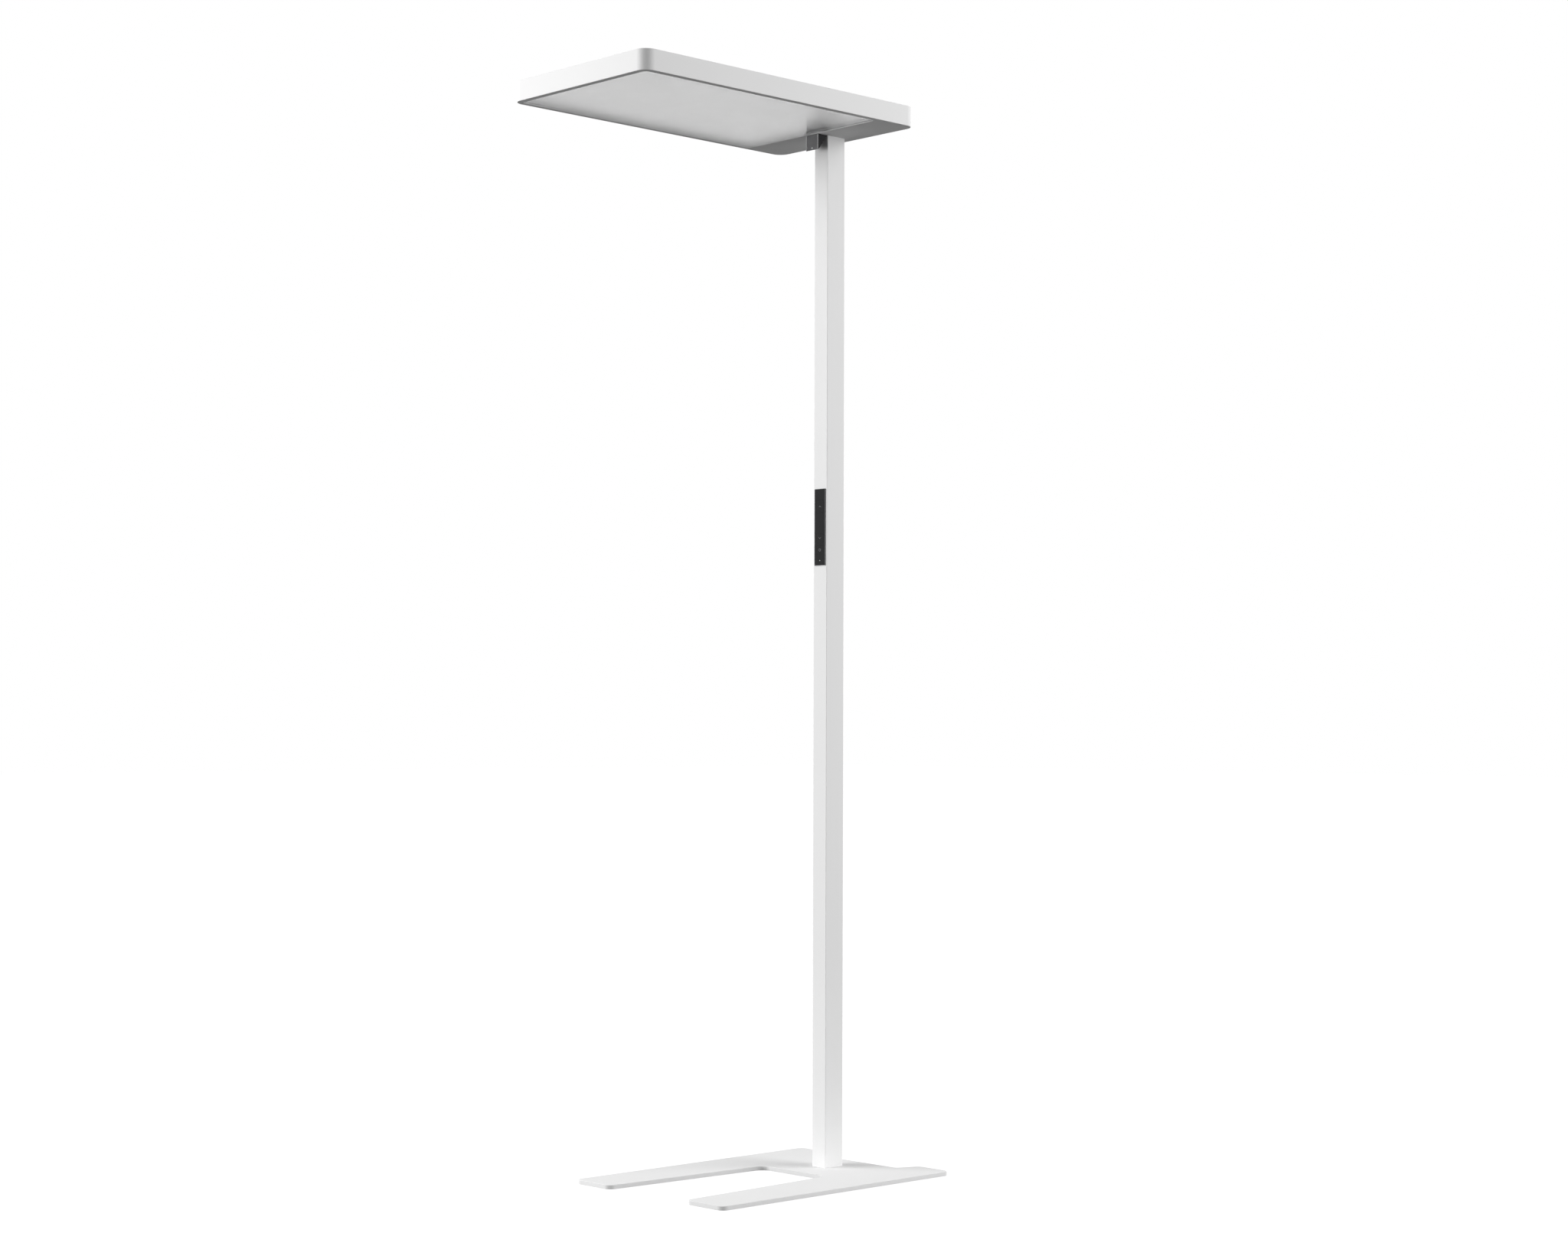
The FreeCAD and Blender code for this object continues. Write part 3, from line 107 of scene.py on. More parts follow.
class FloorLampTrim(bpy.types.PropertyGroup):
    """Sizes of the fine pieces"""

    bezel_width: bpy.props.FloatProperty(
        name="Bezel width", description="Bright line round the control panel",
        unit="LENGTH", default=0.7 * MM)
    mark_size: bpy.props.FloatProperty(
        name="Mark size", description="Height of a mark on a key",
        unit="LENGTH", default=5.5 * MM)
    mark_line: bpy.props.FloatProperty(
        name="Mark line", description="Line width of a mark on a key",
        unit="LENGTH", default=0.8 * MM)
    # Width of each pale strip down the sides of the sensor window, a painted highlight of the
    # window's edges
    sensor_highlight_line: bpy.props.FloatProperty(
        name="Sensor line", description="Bright line down each side of the sensor window",
        unit="LENGTH", default=1.1 * MM)


class FloorLampStudio(bpy.types.PropertyGroup):
    """Light, floor and camera"""

    ambient: bpy.props.FloatProperty(
        name="Ambient", description="Even light from the room", default=0.34, min=0.0)
    left_power: bpy.props.FloatProperty(
        name="Left light", description="Softbox behind and to the left", unit="POWER",
        default=211.0, min=0.0)
    right_power: bpy.props.FloatProperty(
        name="Right light", description="Softbox behind and to the right", unit="POWER",
        default=152.0, min=0.0)
    left_place: bpy.props.FloatVectorProperty(
        name="Left light place", description="Middle of the left softbox",
        subtype="TRANSLATION", unit="LENGTH", size=3, default=(-3.3, 2.5, 2.0))
    right_place: bpy.props.FloatVectorProperty(
        name="Right light place", description="Middle of the right softbox",
        subtype="TRANSLATION", unit="LENGTH", size=3, default=(2.5, -3.3, 2.0))
    softbox_side: bpy.props.FloatProperty(
        name="Softbox side", description="Width and height of a softbox", unit="LENGTH",
        default=3.2)
    floor_half: bpy.props.FloatProperty(
        name="Floor half", description="Half the floor's width", unit="LENGTH", default=40.0)
    near_reach: bpy.props.FloatProperty(
        name="Near reach", description="Where the near floor starts to fade, from the middle",
        unit="LENGTH", default=0.4)
    far_reach: bpy.props.FloatProperty(
        name="Far reach", description="Where the near floor has faded, from the middle",
        unit="LENGTH", default=1.3)
    floor_bounce: bpy.props.FloatProperty(
        name="Floor bounce", description="How much light the floor sends back up",
        subtype="FACTOR", default=0.02, min=0.0, max=1.0)
    floor_near: bpy.props.FloatProperty(
        name="Floor near the base", description="How much light the floor sends up at the base",
        subtype="FACTOR", default=0.22, min=0.0, max=1.0)
    floor_shadow: bpy.props.FloatProperty(
        name="Floor shadow", description="How deep the lamp's shadow looks on the floor",
        subtype="FACTOR", default=0.25, min=0.0, max=1.0)
    floor_white: bpy.props.FloatProperty(
        name="Floor white", description="Brightness of the floor's own white as the camera sees it",
        default=0.93, min=0.0)
    camera_place: bpy.props.FloatVectorProperty(
        name="Camera place", description="Camera position", subtype="TRANSLATION", unit="LENGTH",
        size=3, default=(-3.38351, -3.68710, 0.81171))
    camera_yaw: bpy.props.FloatProperty(
        name="Camera yaw", description="Turn from +X toward +Y", subtype="ANGLE",
        default=math.radians(46.386))
    camera_pitch: bpy.props.FloatProperty(
        name="Camera pitch", description="Upward tilt", subtype="ANGLE",
        default=math.radians(2.301))
    camera_roll: bpy.props.FloatProperty(
        name="Camera roll", description="Roll to the left", subtype="ANGLE",
        default=math.radians(0.18))
    camera_lens: bpy.props.FloatProperty(
        name="Camera lens", description="Focal length in millimetres on a 36 mm wide sensor",
        default=64.087, min=1.0)


# Materials

class Nodes:
    """The node tree of a material or a world, with short calls for its usual nodes"""

    def __init__(self, owner, output="ShaderNodeOutputMaterial"):
        owner.use_nodes = True
        self.owner = owner
        self.tree = owner.node_tree
        self.tree.nodes.clear()
        self.output = self.add(output)

    def add(self, kind, **values):
        """Add a node and set its own properties."""
        node = self.tree.nodes.new(kind)
        for key, value in values.items():
            setattr(node, key, value)
        return node

    def link(self, source, target):
        """Join two sockets."""
        self.tree.links.new(source, target)

    def grid(self, stretch=(1.0, 1.0, 1.0)):
        """Return object coordinates, stretched along an axis where a finish needs it."""
        coordinates = self.add("ShaderNodeTexCoord")
        mapping = self.add("ShaderNodeMapping")
        mapping.inputs["Scale"].default_value = stretch
        self.link(coordinates.outputs["Object"], mapping.inputs["Vector"])
        return mapping.outputs["Vector"]

    def noise(self, vector, size, detail=3.0):
        """Return noise whose features are about as wide as the given size."""
        texture = self.add("ShaderNodeTexNoise")
        texture.inputs["Scale"].default_value = 1.0 / size
        texture.inputs["Detail"].default_value = detail
        self.link(vector, texture.inputs["Vector"])
        return texture.outputs["Fac"]

    def span(self, source, low, high):
        """Return a value spread between two limits."""
        spread = self.add("ShaderNodeMapRange")
        spread.inputs["From Min"].default_value = NOISE_LOW
        spread.inputs["From Max"].default_value = NOISE_HIGH
        spread.inputs["To Min"].default_value = low
        spread.inputs["To Max"].default_value = high
        self.link(source, spread.inputs["Value"])
        return spread.outputs["Result"]

    def blend(self, source, low, high):
        """Return a colour between two colours."""
        ramp = self.add("ShaderNodeValToRGB")
        ramp.color_ramp.elements[0].position = NOISE_LOW
        ramp.color_ramp.elements[1].position = NOISE_HIGH
        ramp.color_ramp.elements[0].color = (*low, 1.0)
        ramp.color_ramp.elements[1].color = (*high, 1.0)
        self.link(source, ramp.inputs["Fac"])
        return ramp.outputs["Color"]

    def bump(self, source, height):
        """Return a normal raised by a height."""
        raised = self.add("ShaderNodeBump")
        raised.inputs["Strength"].default_value = 1.0
        raised.inputs["Distance"].default_value = height
        self.link(source, raised.inputs["Height"])
        return raised.outputs["Normal"]

    def white_rays(self):
        """Return 1 for the rays that see plain white: the camera's, mirrored and let through."""
        path = self.add("ShaderNodeLightPath")
        total = path.outputs["Is Camera Ray"]
        for kind in ("Is Glossy Ray", "Is Transmission Ray"):
            both = self.add("ShaderNodeMath", operation="ADD", use_clamp=True)
            self.link(total, both.inputs[0])
            self.link(path.outputs[kind], both.inputs[1])
            total = both.outputs["Value"]
        return total


def shade(colour, factor):
    """Return a colour made lighter or darker."""
    return tuple(min(1.0, channel * factor) for channel in colour)


def finish(name, colour, roughness, grain, height, vary=0.03, spread=0.04, stretch=(1, 1, 1),
           cloud=60 * MM, **constants):
    """Make a surface whose colour, roughness and bumps all vary at real sizes."""
    made = Nodes(bpy.data.materials.new(name))
    vector = made.grid()
    fine = made.noise(made.grid(stretch), grain)
    broad = made.noise(vector, cloud, 4.0)
    surface = made.add("ShaderNodeBsdfPrincipled")
    made.link(made.blend(broad, shade(colour, 1.0 - vary), shade(colour, 1.0 + vary / 2)),
              surface.inputs["Base Color"])
    made.link(made.span(fine, roughness - spread, roughness + spread), surface.inputs["Roughness"])
    made.link(made.bump(fine, height), surface.inputs["Normal"])
    for key, value in constants.items():
        surface.inputs[key.replace("_", " ").title().replace("Ior", "IOR")].default_value = value
    made.link(surface.outputs["BSDF"], made.output.inputs["Surface"])
    return made.owner


def powder_coat(name, settings, shine=0.0):
    """White powder coat with a fine orange-peel surface."""
    return finish(name, settings.paint, settings.paint_roughness, settings.paint_grain,
                  0.006 * MM, vary=0.012, spread=0.03, cloud=250 * MM, coat_weight=shine,
                  coat_roughness=0.02, specular_ior_level=settings.paint_shine)


def brushed(name, colour, roughness, stretch):
    """Metal with fine lines drawn along one axis."""
    return finish(name, colour, roughness, 0.25 * MM, 0.004 * MM, vary=0.06, spread=0.08,
                  stretch=stretch, cloud=30 * MM, metallic=1.0)


def moulded(name, colour, roughness, vary=0.05, **constants):
    """Moulded plastic with a fine spark-eroded texture."""
    return finish(name, colour, roughness, 0.35 * MM, 0.008 * MM, vary=vary, **constants)


def polished(name, colour, roughness):
    """Polished plastic with faint handling haze."""
    return finish(name, colour, roughness, 7.0 * MM, 0.0005 * MM, vary=0.08, spread=0.02,
                  cloud=20 * MM, specular_ior_level=0.2)


def clear_cover(name):
    """Light-scattering cover with a polished outer face and faint mould flow."""
    made = Nodes(bpy.data.materials.new(name))
    vector = made.grid()
    surface = made.add("ShaderNodeBsdfPrincipled")
    tint = made.blend(made.noise(vector, 80 * MM), (0.93, 0.93, 0.93), (0.96, 0.96, 0.96))
    made.link(tint, surface.inputs["Base Color"])
    made.link(made.span(made.noise(vector, 30 * MM), 0.28, 0.32), surface.inputs["Roughness"])
    surface.inputs["Transmission Weight"].default_value = 1.0
    surface.inputs["IOR"].default_value = 1.12
    surface.inputs["Coat Weight"].default_value = 0.15
    surface.inputs["Coat Roughness"].default_value = 0.02
    made.link(surface.outputs["BSDF"], made.output.inputs["Surface"])
    return made.owner


def lit_panel(name, glow):
    """Opal sheet that shines evenly, with the faint bands of its light strips."""
    made = Nodes(bpy.data.materials.new(name))
    vector = made.grid()
    strip_spacing = 61.6 * MM
    bands = made.add("ShaderNodeTexWave", bands_direction="Y")
    bands.inputs["Scale"].default_value = WAVE_LENGTH / strip_spacing
    bands.inputs["Distortion"].default_value = 0.0
    made.link(vector, bands.inputs["Vector"])
    surface = made.add("ShaderNodeBsdfPrincipled")
    colour = made.blend(bands.outputs["Fac"], (0.95, 0.95, 0.95), (0.98, 0.98, 0.98))
    made.link(colour, surface.inputs["Emission Color"])
    made.link(made.blend(made.noise(vector, 50 * MM), (0.45, 0.45, 0.45), (0.5, 0.5, 0.5)),
              surface.inputs["Base Color"])
    surface.inputs["Roughness"].default_value = 0.5
    surface.inputs["Emission Strength"].default_value = glow
    made.link(surface.outputs["BSDF"], made.output.inputs["Surface"])
    return made.owner


def circuit_board(name, mask, copper):
    """Solder mask with a net of raised tracks."""
    made = Nodes(bpy.data.materials.new(name))
    vector = made.grid()
    tracks = made.add("ShaderNodeTexBrick")
    tracks.inputs["Scale"].default_value = 1.0 / (3.0 * MM)
    tracks.inputs["Mortar Size"].default_value = 0.06
    tracks.inputs["Color1"].default_value = (*mask, 1.0)
    tracks.inputs["Color2"].default_value = (*shade(mask, 0.8), 1.0)
    tracks.inputs["Mortar"].default_value = (*copper, 1.0)
    made.link(vector, tracks.inputs["Vector"])
    surface = made.add("ShaderNodeBsdfPrincipled")
    made.link(tracks.outputs["Color"], surface.inputs["Base Color"])
    made.link(made.span(made.noise(vector, 2 * MM), 0.3, 0.5), surface.inputs["Roughness"])
    made.link(made.bump(tracks.outputs["Fac"], 0.03 * MM), surface.inputs["Normal"])
    made.link(surface.outputs["BSDF"], made.output.inputs["Surface"])
    return made.owner


def materials(settings):
    """Make every finish of the lamp, by name."""
    return {
        "white_paint": powder_coat("white_powder_coat", settings),
        "head_paint": powder_coat("head_powder_coat", settings, shine=0.04),
        "rubber": finish("black_rubber", (0.03, 0.03, 0.03), 0.8, 0.6 * MM, 0.03 * MM),
        "aluminium": brushed("turned_aluminium", (0.75, 0.75, 0.76), 0.35, (1, 1, 0.05)),
        "steel": brushed("zinc_plated_steel", (0.62, 0.62, 0.6), 0.3, (1, 0.1, 1)),
        "brass": brushed("nickel_plated_pins", (0.7, 0.66, 0.5), 0.25, (0.08, 1, 1)),
        "clear_cover": clear_cover("clear_head_cover"),
        "milky_plastic": moulded("opal_plastic", (0.84, 0.85, 0.86), 0.35, vary=0.015,
                                 subsurface_weight=0.2, subsurface_scale=4 * MM),
        "opal_panel": lit_panel("lit_opal_panel", settings.panel_glow),
        "white_sheet": finish("white_sheet_metal", (0.88, 0.88, 0.88), 0.5, 0.6 * MM, 0.004 * MM),
        # Near-black sheet for the light tray: painted shade that darkens the edges of the lit panel
        # as seen through the cover
        "tray_painted_shade": finish("tray_sheet_painted_shade", (0.08, 0.08, 0.08), 0.6, 0.6 * MM, 0.004 * MM),
        "white_board": circuit_board("white_strip_board", (0.85, 0.85, 0.83), (0.7, 0.68, 0.6)),
        "circuit_board": circuit_board("green_board", (0.02, 0.18, 0.07), (0.1, 0.35, 0.15)),
        "light_chip": moulded("phosphor_chip", (0.85, 0.72, 0.25), 0.4),
        "black_plastic": moulded("black_moulding", (0.018, 0.018, 0.019), 0.5,
                                 specular_ior_level=0.3),
        "white_plastic": moulded("white_moulding", (0.82, 0.82, 0.8), 0.4),
        "black_gloss": polished("polished_black", (0.012, 0.012, 0.013), 0.08),
        "cable": finish("grey_sheath", (0.4, 0.4, 0.4), 0.55, 1.2 * MM, 0.02 * MM),
        "bright_line": polished("bright_edge", (0.30, 0.30, 0.31), 0.2),
        # Pale strips down the sensor window's sides are painted highlights; the same finish serves
        # the window's small mark
        "pale_mark_and_painted_highlight": polished("painted_edge_highlight_and_mark", (0.65, 0.65, 0.65), 0.2),
        "key_mark": moulded("printed_mark", settings.mark, 0.5),
        "dot_light": moulded("indicator_window", (0.7, 0.75, 0.72), 0.3),
        "sensor_glass": polished("smoked_sensor_window", (0.14, 0.14, 0.145), 0.12),
    }


# CAD nodes whose finish isn't simply that of their slot
NODE_FINISH = {
    "downlight_diffuser": "clear_cover",
    "indicator_light": "dot_light",
    "sensor_window": "sensor_glass",
    "head_frame": "head_paint",
    # The light tray takes the near-black sheet, painted shade behind the edges of the cover
    "light_tray": "tray_painted_shade",
}


def material(name):
    """Return a finish of the lamp, or stop if the finishes haven't been made."""
    found = bpy.data.materials.get(bpy.context.scene.get(f"finish_{name}", ""))
    if found is None:
        raise RuntimeError(f"finish {name} hasn't been made")
    return found


# Mesh helpers

def piece(name, mesh, finish_name, body="lamp"):
    """Put a mesh in the scene as a piece of the lamp."""
    made = bpy.data.objects.new(name, mesh)
    bpy.context.scene.collection.objects.link(made)
    mesh.materials.append(material(finish_name))
    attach(made, body)
    return made


def mesh_from(name, build, smooth=False):
    """Make a mesh with a function that fills a bmesh."""
    work = bmesh.new()
    build(work)
    bmesh.ops.recalc_face_normals(work, faces=work.faces)
    mesh = bpy.data.meshes.new(name)
    work.to_mesh(mesh)
    work.free()
    for face in mesh.polygons:
        face.use_smooth = smooth
    return mesh


def loft(work, loops, closed=False, caps=True):
    """Join loops that have the same number of points."""
    rings = [[work.verts.new(point) for point in loop] for loop in loops]
    pairs = list(zip(rings, rings[1:]))
    if closed:
        pairs.append((rings[-1], rings[0]))
    for lower, upper in pairs:
        count = len(lower)
        for index in range(count):
            after = (index + 1) % count
            work.faces.new((lower[index], lower[after], upper[after], upper[index]))
    if caps and not closed:
        work.faces.new(rings[0])
        work.faces.new(rings[-1])


def circle(radius, height):
    """Return points round a circle."""
    turn = 2 * math.pi / ROUND_SIDES
    return [Vector((radius * math.cos(turn * n), radius * math.sin(turn * n), height))
            for n in range(ROUND_SIDES)]


def hexagon(across, height):
    """Return as many points as a circle has, along a hexagon."""
    per_side = ROUND_SIDES // 6
    corners = [Vector((math.cos(math.radians(60 * n)), math.sin(math.radians(60 * n)), 0))
               for n in range(6)]
    reach = across / math.sqrt(3)
    made = []
    for n in range(6):
        start, end = corners[n], corners[(n + 1) % 6]
        for step in range(per_side):
            point = start.lerp(end, step / per_side) * reach
            point.z = height
            made.append(point)
    return made


def socket_screw(work, place, head_radius, head_height, radius, length):
    """Add a screw with a hexagon socket, its head along the place's own Z."""
    bevel = 0.12 * head_height
    socket = 0.95 * head_radius
    socket_floor = 0.35 * head_height
    taper = 0.4 * radius
    loops = [
        circle(0.8 * radius, -length),
        circle(radius, -length + taper),
        circle(radius, 0.0),
        circle(head_radius, 0.0),
        circle(head_radius, head_height - bevel),
        circle(head_radius - bevel, head_height),
        hexagon(socket, head_height),
        hexagon(socket, socket_floor),
    ]
    loft(work, [[place @ point for point in loop] for loop in loops])


def rounded_loop(width, height, radius, depth, steps=4):
    """Return points round a rounded rectangle that faces -X, about its own middle."""
    made = []
    for turn, (side, rise) in enumerate(((1, 1), (-1, 1), (-1, -1), (1, -1))):
        middle_y = side * (width / 2 - radius)
        middle_z = rise * (height / 2 - radius)
        for step in range(steps + 1):
            angle = math.radians(90 * turn + 90 * step / steps)
            made.append(Vector((depth, middle_y + radius * math.cos(angle),
                                middle_z + radius * math.sin(angle))))
    return made


def prism(work, outline, front, back):
    """Add a shape with a flat front and back along X from points in Y and Z."""
    loft(work, [[Vector((x, y, z)) for y, z in outline] for x in (front, back)])


def middle_of(node):
    """Return the middle of a CAD node's box."""
    low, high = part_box(node)
    return (Vector(low) + Vector(high)) / 2


# Operators

class FLOORLAMP_OT_finishes(bpy.types.Operator):
    """Make the finishes and give every CAD node its own"""

    bl_idname = "floorlamp.finishes"
    bl_label = "Finishes"

    def execute(self, context):
        made = materials(context.scene.floor_lamp_finish)
        for name, item in made.items():
            context.scene[f"finish_{name}"] = item.name
        slots = {row["node"]: row["material_slot"] for row in frame["record"]["subparts"]}
        for node, item in frame["nodes"].items():
            chosen = made[NODE_FINISH.get(node, slots[node])]
            if not item.material_slots:
                item.data.materials.append(chosen)
            for material_slot in item.material_slots:
                material_slot.material = chosen
        return {"FINISHED"}


class FLOORLAMP_OT_screws(bpy.types.Operator):
    """Replace the plain screws that show with socket screws"""

    bl_idname = "floorlamp.screws"
    bl_label = "Socket screws"

    def execute(self, context):
        # Node, axis and way its heads face, head radius and height, shank radius
        sets = (
            ("cover_screws", "z", 1, 2.2, 1.6, 1.25),
            ("mast_foot_bolts", "z", -1, 5.2, 3.2, 3.0),
            ("inlet_screws", "x", 1, 2.2, 1.6, 1.25),
        )
        for node, axis, way, head_radius, head_height, radius in sets:
            mesh = mesh_from(f"{node}_mesh", self.filler(
                node, axis, way, head_radius * MM, head_height * MM, radius * MM))
            made = piece(f"{node}_socketed", mesh, "steel")
            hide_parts(node)
        return {"FINISHED"}

    @staticmethod
    def filler(node, axis, way, head_radius, head_height, radius):
        """Return a function that adds one screw at each place the CAD node has one."""
        low, high = (Vector(corner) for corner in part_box(node))
        along = 2 if axis == "z" else 0
        length = high[along] - low[along] - head_height
        seat = (high if way > 0 else low)[along] - way * head_height
        turn = Vector((0, 0, 1)).rotation_difference(
            Vector((0, 0, way)) if axis == "z" else Vector((way, 0, 0))).to_matrix().to_4x4()
        if axis == "z":
            spots = [Vector((x, y, seat))
                     for x in (low.x + head_radius, high.x - head_radius)
                     for y in (low.y + head_radius, high.y - head_radius)]
        else:
            spots = [Vector((seat, (low.y + high.y) / 2, z))
                     for z in (low.z + head_radius, high.z - head_radius)]

        def build(work):
            for spot in spots:
                socket_screw(work, Matrix.Translation(spot) @ turn, head_radius, head_height,
                             radius, length)
        return build


class FLOORLAMP_OT_bezel(bpy.types.Operator):
    """Add the bright line round the control panel"""

    bl_idname = "floorlamp.bezel"
    bl_label = "Panel bezel"

    def execute(self, context):
        width = context.scene.floor_lamp_trim.bezel_width
        low, high = (Vector(corner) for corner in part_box("control_panel"))
        middle = (low + high) / 2
        across = high.y - low.y
        tall = high.z - low.z
        proud = 0.06 * MM
        radius = 1.5 * MM
        tightest = 0.3 * MM
        profile = (
            (0.0, proud), (0.0, -proud), (width * 0.4, -2 * proud), (width, -proud),
            (width, proud),
        )

        def build(work):
            loops = []
            for inset, depth in profile:
                inner = max(radius - inset, tightest)
                loop = rounded_loop(across - 2 * inset, tall - 2 * inset, inner, depth)
                loops.append([Vector((low.x, middle.y, middle.z)) + point for point in loop])
            loft(work, loops, closed=True)
        piece("control_panel_bezel", mesh_from("control_panel_bezel", build), "bright_line")
        return {"FINISHED"}


class FLOORLAMP_OT_marks(bpy.types.Operator):
    """Add a plain mark to each key"""

    bl_idname = "floorlamp.marks"
    bl_label = "Key marks"

    def execute(self, context):
        trim = context.scene.floor_lamp_trim
        half = trim.mark_size / 2
        line = trim.mark_line
        proud = 0.04 * MM
        marks = {
            "brighter": self.chevron(half, line, 1),
            "dimmer": self.chevron(half, line, -1),
            "power": self.ring(half, line),
        }
        for key, outlines in marks.items():
            node = f"key_{key}"
            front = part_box(node)[0][0]
            middle = middle_of(node)

            def build(work):
                for outline in outlines:
                    placed = [(middle.y + y, middle.z + z) for y, z in outline]
                    prism(work, placed, front - proud, front + proud)
            piece(f"{key}_mark", mesh_from(f"{key}_mark", build), "key_mark",
                  f"{key}_key")
        return {"FINISHED"}

    @staticmethod
    def chevron(half, line, way):
        """Return the outline of an arrow head that points up or down."""
        points = ((-half, -half / 2), (0, half / 2), (half, -half / 2), (half, -half / 2 - line),
                  (0, half / 2 - line), (-half, -half / 2 - line))
        return [[(y, way * z) for y, z in points]]

    @staticmethod
    def ring(half, line):
        """Return the outlines of a broken ring with an upright bar in its gap."""
        steps = 20
        start = math.radians(125)
        sweep = math.radians(290)
        outer = [(half * math.cos(start + sweep * n / steps),
                  half * math.sin(start + sweep * n / steps)) for n in range(steps + 1)]
        inner = [(y * (half - line) / half, z * (half - line) / half) for y, z in outer]
        bar_low = half * 0.1
        pieces = []
        for n in range(steps):
            pieces.append([outer[n], outer[n + 1], inner[n + 1], inner[n]])
        pieces.append([(-line / 2, bar_low), (line / 2, bar_low), (line / 2, half),
                       (-line / 2, half)])
        return pieces


class FLOORLAMP_OT_sensor_trim(bpy.types.Operator):
    """Add the painted highlights down each side of the sensor window, and its small pale mark"""

    bl_idname = "floorlamp.sensor_trim"
    bl_label = "Sensor trim"

    def execute(self, context):
        line = context.scene.floor_lamp_trim.sensor_highlight_line
        low, high = (Vector(corner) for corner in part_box("sensor_window"))
        proud = 0.08 * MM
        margin = 0.4 * MM
        mark_low = 2.5 * MM
        mark_half = 2.2 * MM
        mark_tall = 3.4 * MM
        front = low.x - proud
        back = low.x + proud

        # Pale strips along both side edges of the window: painted highlights of its edges
        def lines(work):
            for near, far in ((low.y + margin, low.y + margin + line),
                              (high.y - margin - line, high.y - margin)):
                bottom = low.z + margin
                top = high.z - margin
                prism(work, [(near, bottom), (far, bottom), (far, top), (near, top)], front, back)

        def mark(work):
            middle = (low.y + high.y) / 2
            bottom = low.z + mark_low
            prism(work, [(middle - mark_half, bottom), (middle + mark_half, bottom),
                         (middle, bottom + mark_tall)], front, back)
        piece("sensor_side_painted_highlights", mesh_from("sensor_side_painted_highlights", lines), "pale_mark_and_painted_highlight")
        piece("sensor_mark", mesh_from("sensor_mark", mark), "pale_mark_and_painted_highlight")
        return {"FINISHED"}


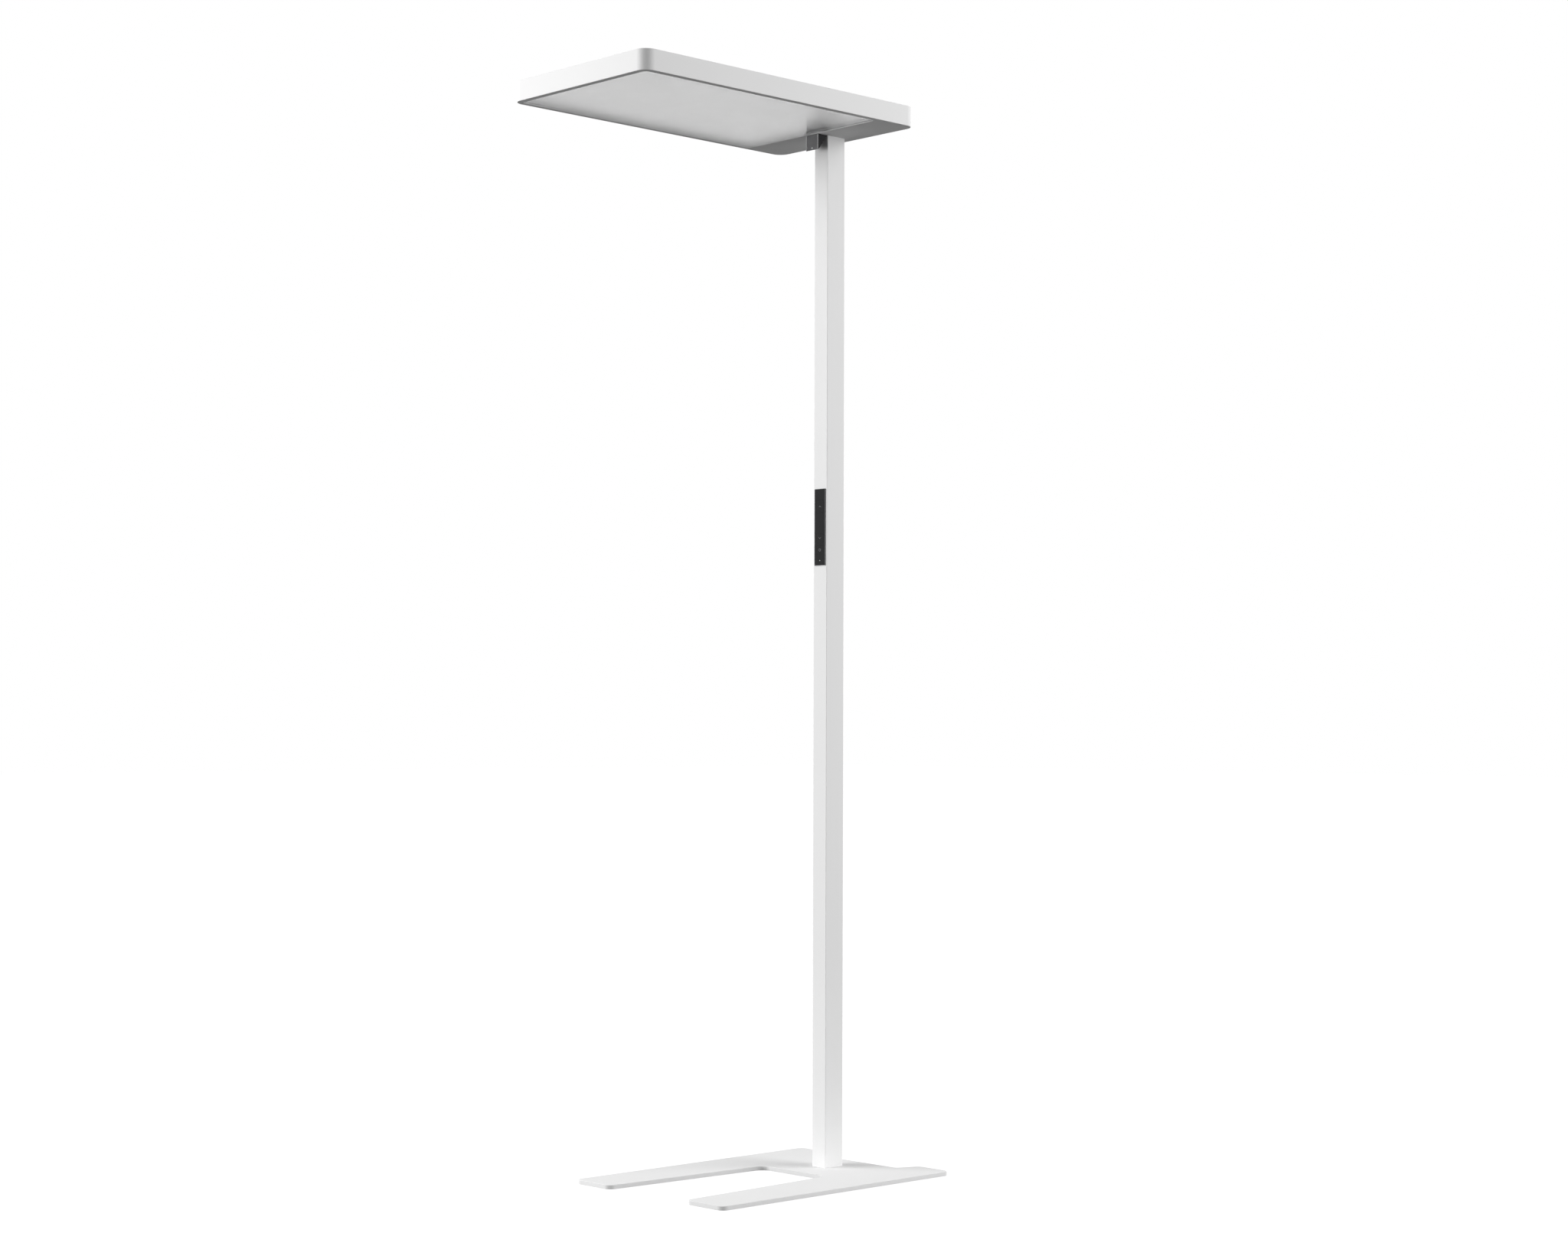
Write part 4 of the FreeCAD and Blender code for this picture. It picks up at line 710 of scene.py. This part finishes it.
class FLOORLAMP_OT_stage(bpy.types.Operator):
    """Add the floor, the soft lights and the camera"""

    bl_idname = "floorlamp.stage"
    bl_label = "Studio"

    def execute(self, context):
        studio = context.scene.floor_lamp_studio
        self.floor(studio)
        self.world(context.scene, studio)
        for name, place, power in (("softbox_left", studio.left_place, studio.left_power),
                                   ("softbox_right", studio.right_place, studio.right_power)):
            self.softbox(name, Vector(place), studio.softbox_side, power)
        self.camera(context.scene, studio)
        context.scene.view_settings.view_transform = "Standard"
        return {"FINISHED"}

    @staticmethod
    def floor(studio):
        """Add a pale floor that looks white to the camera and keeps the lamp's shadow."""
        half = studio.floor_half

        def build(work):
            corners = ((-half, -half), (half, -half), (half, half), (-half, half))
            work.faces.new([work.verts.new((x, y, FLOOR_LEVEL)) for x, y in corners])
        mesh = mesh_from("floor", build)
        made = bpy.data.objects.new("floor", mesh)
        bpy.context.scene.collection.objects.link(made)
        nodes = Nodes(bpy.data.materials.new("pale_floor"))
        place = nodes.add("ShaderNodeTexCoord")
        apart = nodes.add("ShaderNodeVectorMath", operation="LENGTH")
        nodes.link(place.outputs["Object"], apart.inputs[0])
        fade = nodes.add("ShaderNodeMapRange", interpolation_type="SMOOTHSTEP")
        for key, value in (("From Min", studio.near_reach), ("From Max", studio.far_reach),
                           ("To Min", studio.floor_near), ("To Max", studio.floor_bounce)):
            fade.inputs[key].default_value = value
        nodes.link(apart.outputs["Value"], fade.inputs["Value"])
        bounce = nodes.add("ShaderNodeBsdfDiffuse")
        nodes.link(fade.outputs["Result"], bounce.inputs["Color"])
        shadow = nodes.add("ShaderNodeBsdfDiffuse")
        shadow.inputs["Color"].default_value = (*(studio.floor_shadow,) * 3, 1.0)
        white = nodes.add("ShaderNodeEmission")
        white.inputs["Strength"].default_value = studio.floor_white
        both = nodes.add("ShaderNodeAddShader")
        nodes.link(shadow.outputs["BSDF"], both.inputs[0])
        nodes.link(white.outputs["Emission"], both.inputs[1])
        mix = nodes.add("ShaderNodeMixShader")
        nodes.link(nodes.white_rays(), mix.inputs["Fac"])
        nodes.link(bounce.outputs["BSDF"], mix.inputs[1])
        nodes.link(both.outputs["Shader"], mix.inputs[2])
        nodes.link(mix.outputs["Shader"], nodes.output.inputs["Surface"])
        mesh.materials.append(nodes.owner)

    @staticmethod
    def world(scene, studio):
        """Light evenly from all round, and look white to the camera and in reflections."""
        scene.world = bpy.data.worlds.new("studio_room")
        nodes = Nodes(scene.world, "ShaderNodeOutputWorld")
        mix = nodes.add("ShaderNodeMixShader")
        nodes.link(nodes.white_rays(), mix.inputs["Fac"])
        for socket, strength in ((1, studio.ambient), (2, 1.0)):
            background = nodes.add("ShaderNodeBackground")
            background.inputs["Color"].default_value = (1.0, 1.0, 1.0, 1.0)
            background.inputs["Strength"].default_value = strength
            nodes.link(background.outputs["Background"], mix.inputs[socket])
        nodes.link(mix.outputs["Shader"], nodes.output.inputs["Surface"])

    @staticmethod
    def softbox(name, place, size, power):
        """Add a square light that faces the middle of the lamp."""
        data = bpy.data.lights.new(name, "AREA")
        data.shape = "SQUARE"
        data.size = size
        data.energy = power
        made = bpy.data.objects.new(name, data)
        made.location = place
        low, high = CAD_BOX
        toward = (Vector(low) + Vector(high)) / 2 - place
        made.rotation_euler = toward.to_track_quat("-Z", "Y").to_euler()
        made.visible_camera = False
        made.visible_glossy = False
        bpy.context.scene.collection.objects.link(made)

    @staticmethod
    def camera(scene, studio):
        """Set the camera where the photograph was taken from."""
        yaw, pitch, roll = studio.camera_yaw, studio.camera_pitch, studio.camera_roll
        ahead = Vector((math.cos(yaw) * math.cos(pitch), math.sin(yaw) * math.cos(pitch),
                        math.sin(pitch)))
        level = Vector((math.sin(yaw), -math.cos(yaw), 0.0))
        above = level.cross(ahead)
        right = level * math.cos(roll) + above * math.sin(roll)
        up = above * math.cos(roll) - level * math.sin(roll)
        data = bpy.data.cameras.new("photo_camera")
        data.sensor_width = CAMERA_FILM
        data.sensor_fit = "HORIZONTAL"
        data.lens = studio.camera_lens
        data.clip_end = 5 * studio.floor_half
        made = bpy.data.objects.new("photo_camera", data)
        turn = Matrix((right, up, -ahead)).transposed().to_4x4()
        made.matrix_world = Matrix.Translation(Vector(studio.camera_place)) @ turn
        scene.collection.objects.link(made)
        scene.camera = made


class FLOORLAMP_PT_sidebar(bpy.types.Panel):
    """Floor lamp settings and operators"""

    bl_idname = "FLOORLAMP_PT_sidebar"
    bl_label = "Floor Lamp"
    bl_space_type = "VIEW_3D"
    bl_region_type = "UI"
    bl_category = "Floor Lamp"

    def draw(self, context):
        layout = self.layout
        for settings in SETTINGS:
            group = getattr(context.scene, settings)
            for prop in group.bl_rna.properties.keys():
                if prop not in ("rna_type", "name"):
                    layout.prop(group, prop)
        for operator in OPERATORS:
            layout.operator(operator.bl_idname)


SETTINGS = {
    "floor_lamp_finish": FloorLampFinish,
    "floor_lamp_trim": FloorLampTrim,
    "floor_lamp_studio": FloorLampStudio,
}
OPERATORS = (
    FLOORLAMP_OT_finishes,
    FLOORLAMP_OT_screws,
    FLOORLAMP_OT_bezel,
    FLOORLAMP_OT_marks,
    FLOORLAMP_OT_sensor_trim,
    FLOORLAMP_OT_stage,
)


def register():
    """Register the settings, the operators and the panel."""
    for item in (*SETTINGS.values(), *OPERATORS, FLOORLAMP_PT_sidebar):
        bpy.utils.register_class(item)
    for name, group in SETTINGS.items():
        setattr(bpy.types.Scene, name, bpy.props.PointerProperty(type=group))


def unregister():
    """Take the settings, the operators and the panel away again."""
    for name in SETTINGS:
        delattr(bpy.types.Scene, name)
    for item in reversed((*SETTINGS.values(), *OPERATORS, FLOORLAMP_PT_sidebar)):
        bpy.utils.unregister_class(item)


def main():
    """Build the whole scene."""
    register()
    bpy.ops.floorlamp.finishes()
    bpy.ops.floorlamp.screws()
    bpy.ops.floorlamp.bezel()
    bpy.ops.floorlamp.marks()
    bpy.ops.floorlamp.sensor_trim()
    bpy.ops.floorlamp.stage()


if __name__ == "__main__":
    main()
